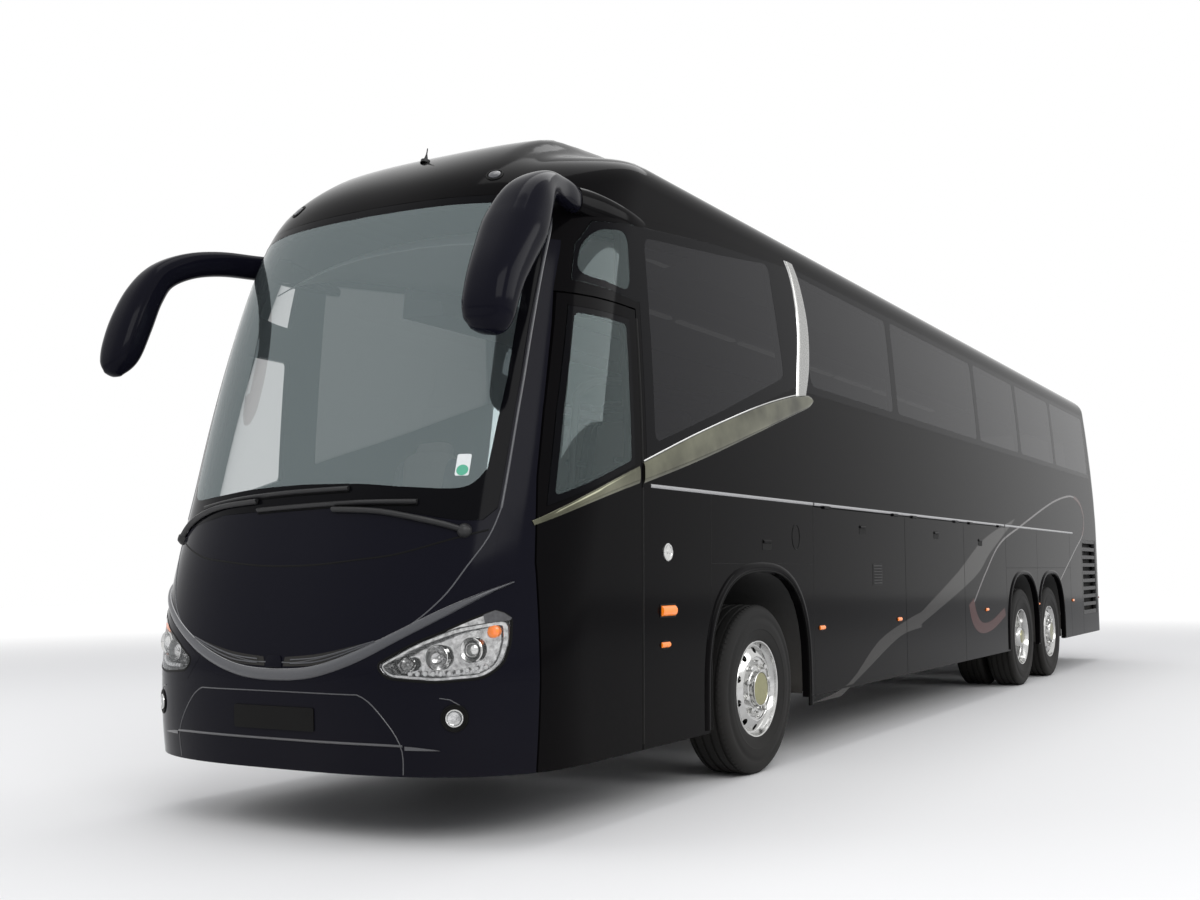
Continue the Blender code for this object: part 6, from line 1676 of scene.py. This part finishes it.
def tube_mesh(line, radius, sides, material):
    """Round tube along a line in space, closed at both ends."""
    points = []
    line = [Vector(spot) for spot in line]
    for index, here in enumerate(line):
        run = (line[min(index + 1, len(line) - 1)] - line[max(index - 1, 0)]).normalized()
        across = run.cross(Vector((1, 0.02, 0.01))).normalized()
        other = run.cross(across)
        points += [here + (across * math.cos(math.tau * step / sides) + other * math.sin(math.tau * step / sides))
                   * radius for step in range(sides)]
    faces = quads(len(line), sides, True)
    faces += [tuple(range(sides))[::-1], tuple(range(len(points) - sides, len(points)))]
    data = turned_out(mesh_of(points, faces, 50))
    data.materials.append(material)
    return data


rail_data = tube_mesh(rail_line, 0.021, 20, TRIM)
rail_data.transform(Matrix.Translation((0, A, 0)))
add_piece("door_handrail", rail_data, "door_leaf")

# Roof fittings. A short plastic aerial, a clearance lamp in a rubber seat on each side and a roof hatch.
# All are fixed from outside through the skin, and the hatch is one crowned moulding.
lathe("aerial", ((-0.01, 0.030), (0.008, 0.028), (0.016, 0.012), (0.050, 0.004), (0.085, 0.003), (0.087, 0.0)), 20,
      (aimed("top", 0.0, -1.75)[0], Vector((0, 0.2, 1))), PLASTIC)
for side, word in SIDES:
    seat = on_skin(Vector((side * 0.70, -2.02 + A, 3.34)))
    lathe("clearance_seat_" + word, ((-0.004, 0.050), (0.003, 0.048), (0.004, 0.040), (-0.004, 0.036)), 32, seat,
          TRIM)
    lathe("clearance_lamp_" + word, ((-0.004, 0.034), (0.004, 0.032), (0.009, 0.020), (0.010, 0.0)), 28, seat,
          GREY_TRIM)
plate("hatch_cover", "top", [rounded(oblong(-0.40, 6.85, 0.40, 7.55), 0.07)], PLASTIC, lift=0.001, thick=0.020,
      crown=0.006, pitch=0.10)

# Tail. Four round lamps on each side with chromed rims on a moulded panel, and a strip reflector above them.
# A bare number plate is screwed to a flat holder under the rear window.
for side, word in SIDES:
    smooth_panel("tail_lamp_" + word, "coach_body", RED, INNER, INNER)
    for index, (z, colour) in enumerate(((1.42, RED), (1.27, AMBER), (1.12, RED), (0.97, WHITE_LENS))):
        seat = aimed("rear", side * 1.10, z)
        lathe("tail_unit_%s_%d" % (word, index), ((-0.006, 0.066), (0.010, 0.064), (0.013, 0.058), (0.010, 0.054)),
              36, seat, CHROME)
        lathe("tail_lens_%s_%d" % (word, index), ((0.006, 0.055), (0.012, 0.050), (0.019, 0.030), (0.021, 0.0)), 36,
              seat, colour)
    bead("rear_reflector_" + word, "rear", [(side * 1.02, 1.60), (side * 1.18, 1.60)], 0.05, 0.006, RED,
         lift=0.001, flat=5.0)
rest_point = aimed("rear", 0.20, 2.075)[0]
plate_line = [(x, rest_point.y + step, z) for step in (-0.012, 0.007) for x, z in oblong(-0.26, 2.02, 0.26, 2.13)]
add_piece("rear_plate", mesh_of(plate_line, [(0, 1, 2, 3), (4, 7, 6, 5), (0, 4, 5, 1), (1, 5, 6, 2), (2, 6, 7, 3),
                                             (3, 7, 4, 0)]), "coach_body", PLASTIC)

# Bare metal and moulded parts. Chassis, axles, steps, racks, dashboard and grille are seen as they were built.
# Each takes the finish of its cast iron, black steel, plastic, lining or floor covering here.
node_finish = {"underframe": STEEL, "engine": CAST, "entrance_steps": CARPET, "dashboard": PLASTIC,
               "luggage_rack_left": LINING, "luggage_rack_right": LINING, "front_axle": STEEL, "knuckle_left": CAST,
               "knuckle_right": CAST, "drive_axle": CAST, "tag_axle": CAST, "door_arm": STEEL,
               "radiator_grille": PLASTIC}
for node, material in node_finish.items():
    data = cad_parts[node].data
    data.materials.clear()
    data.materials.append(material)
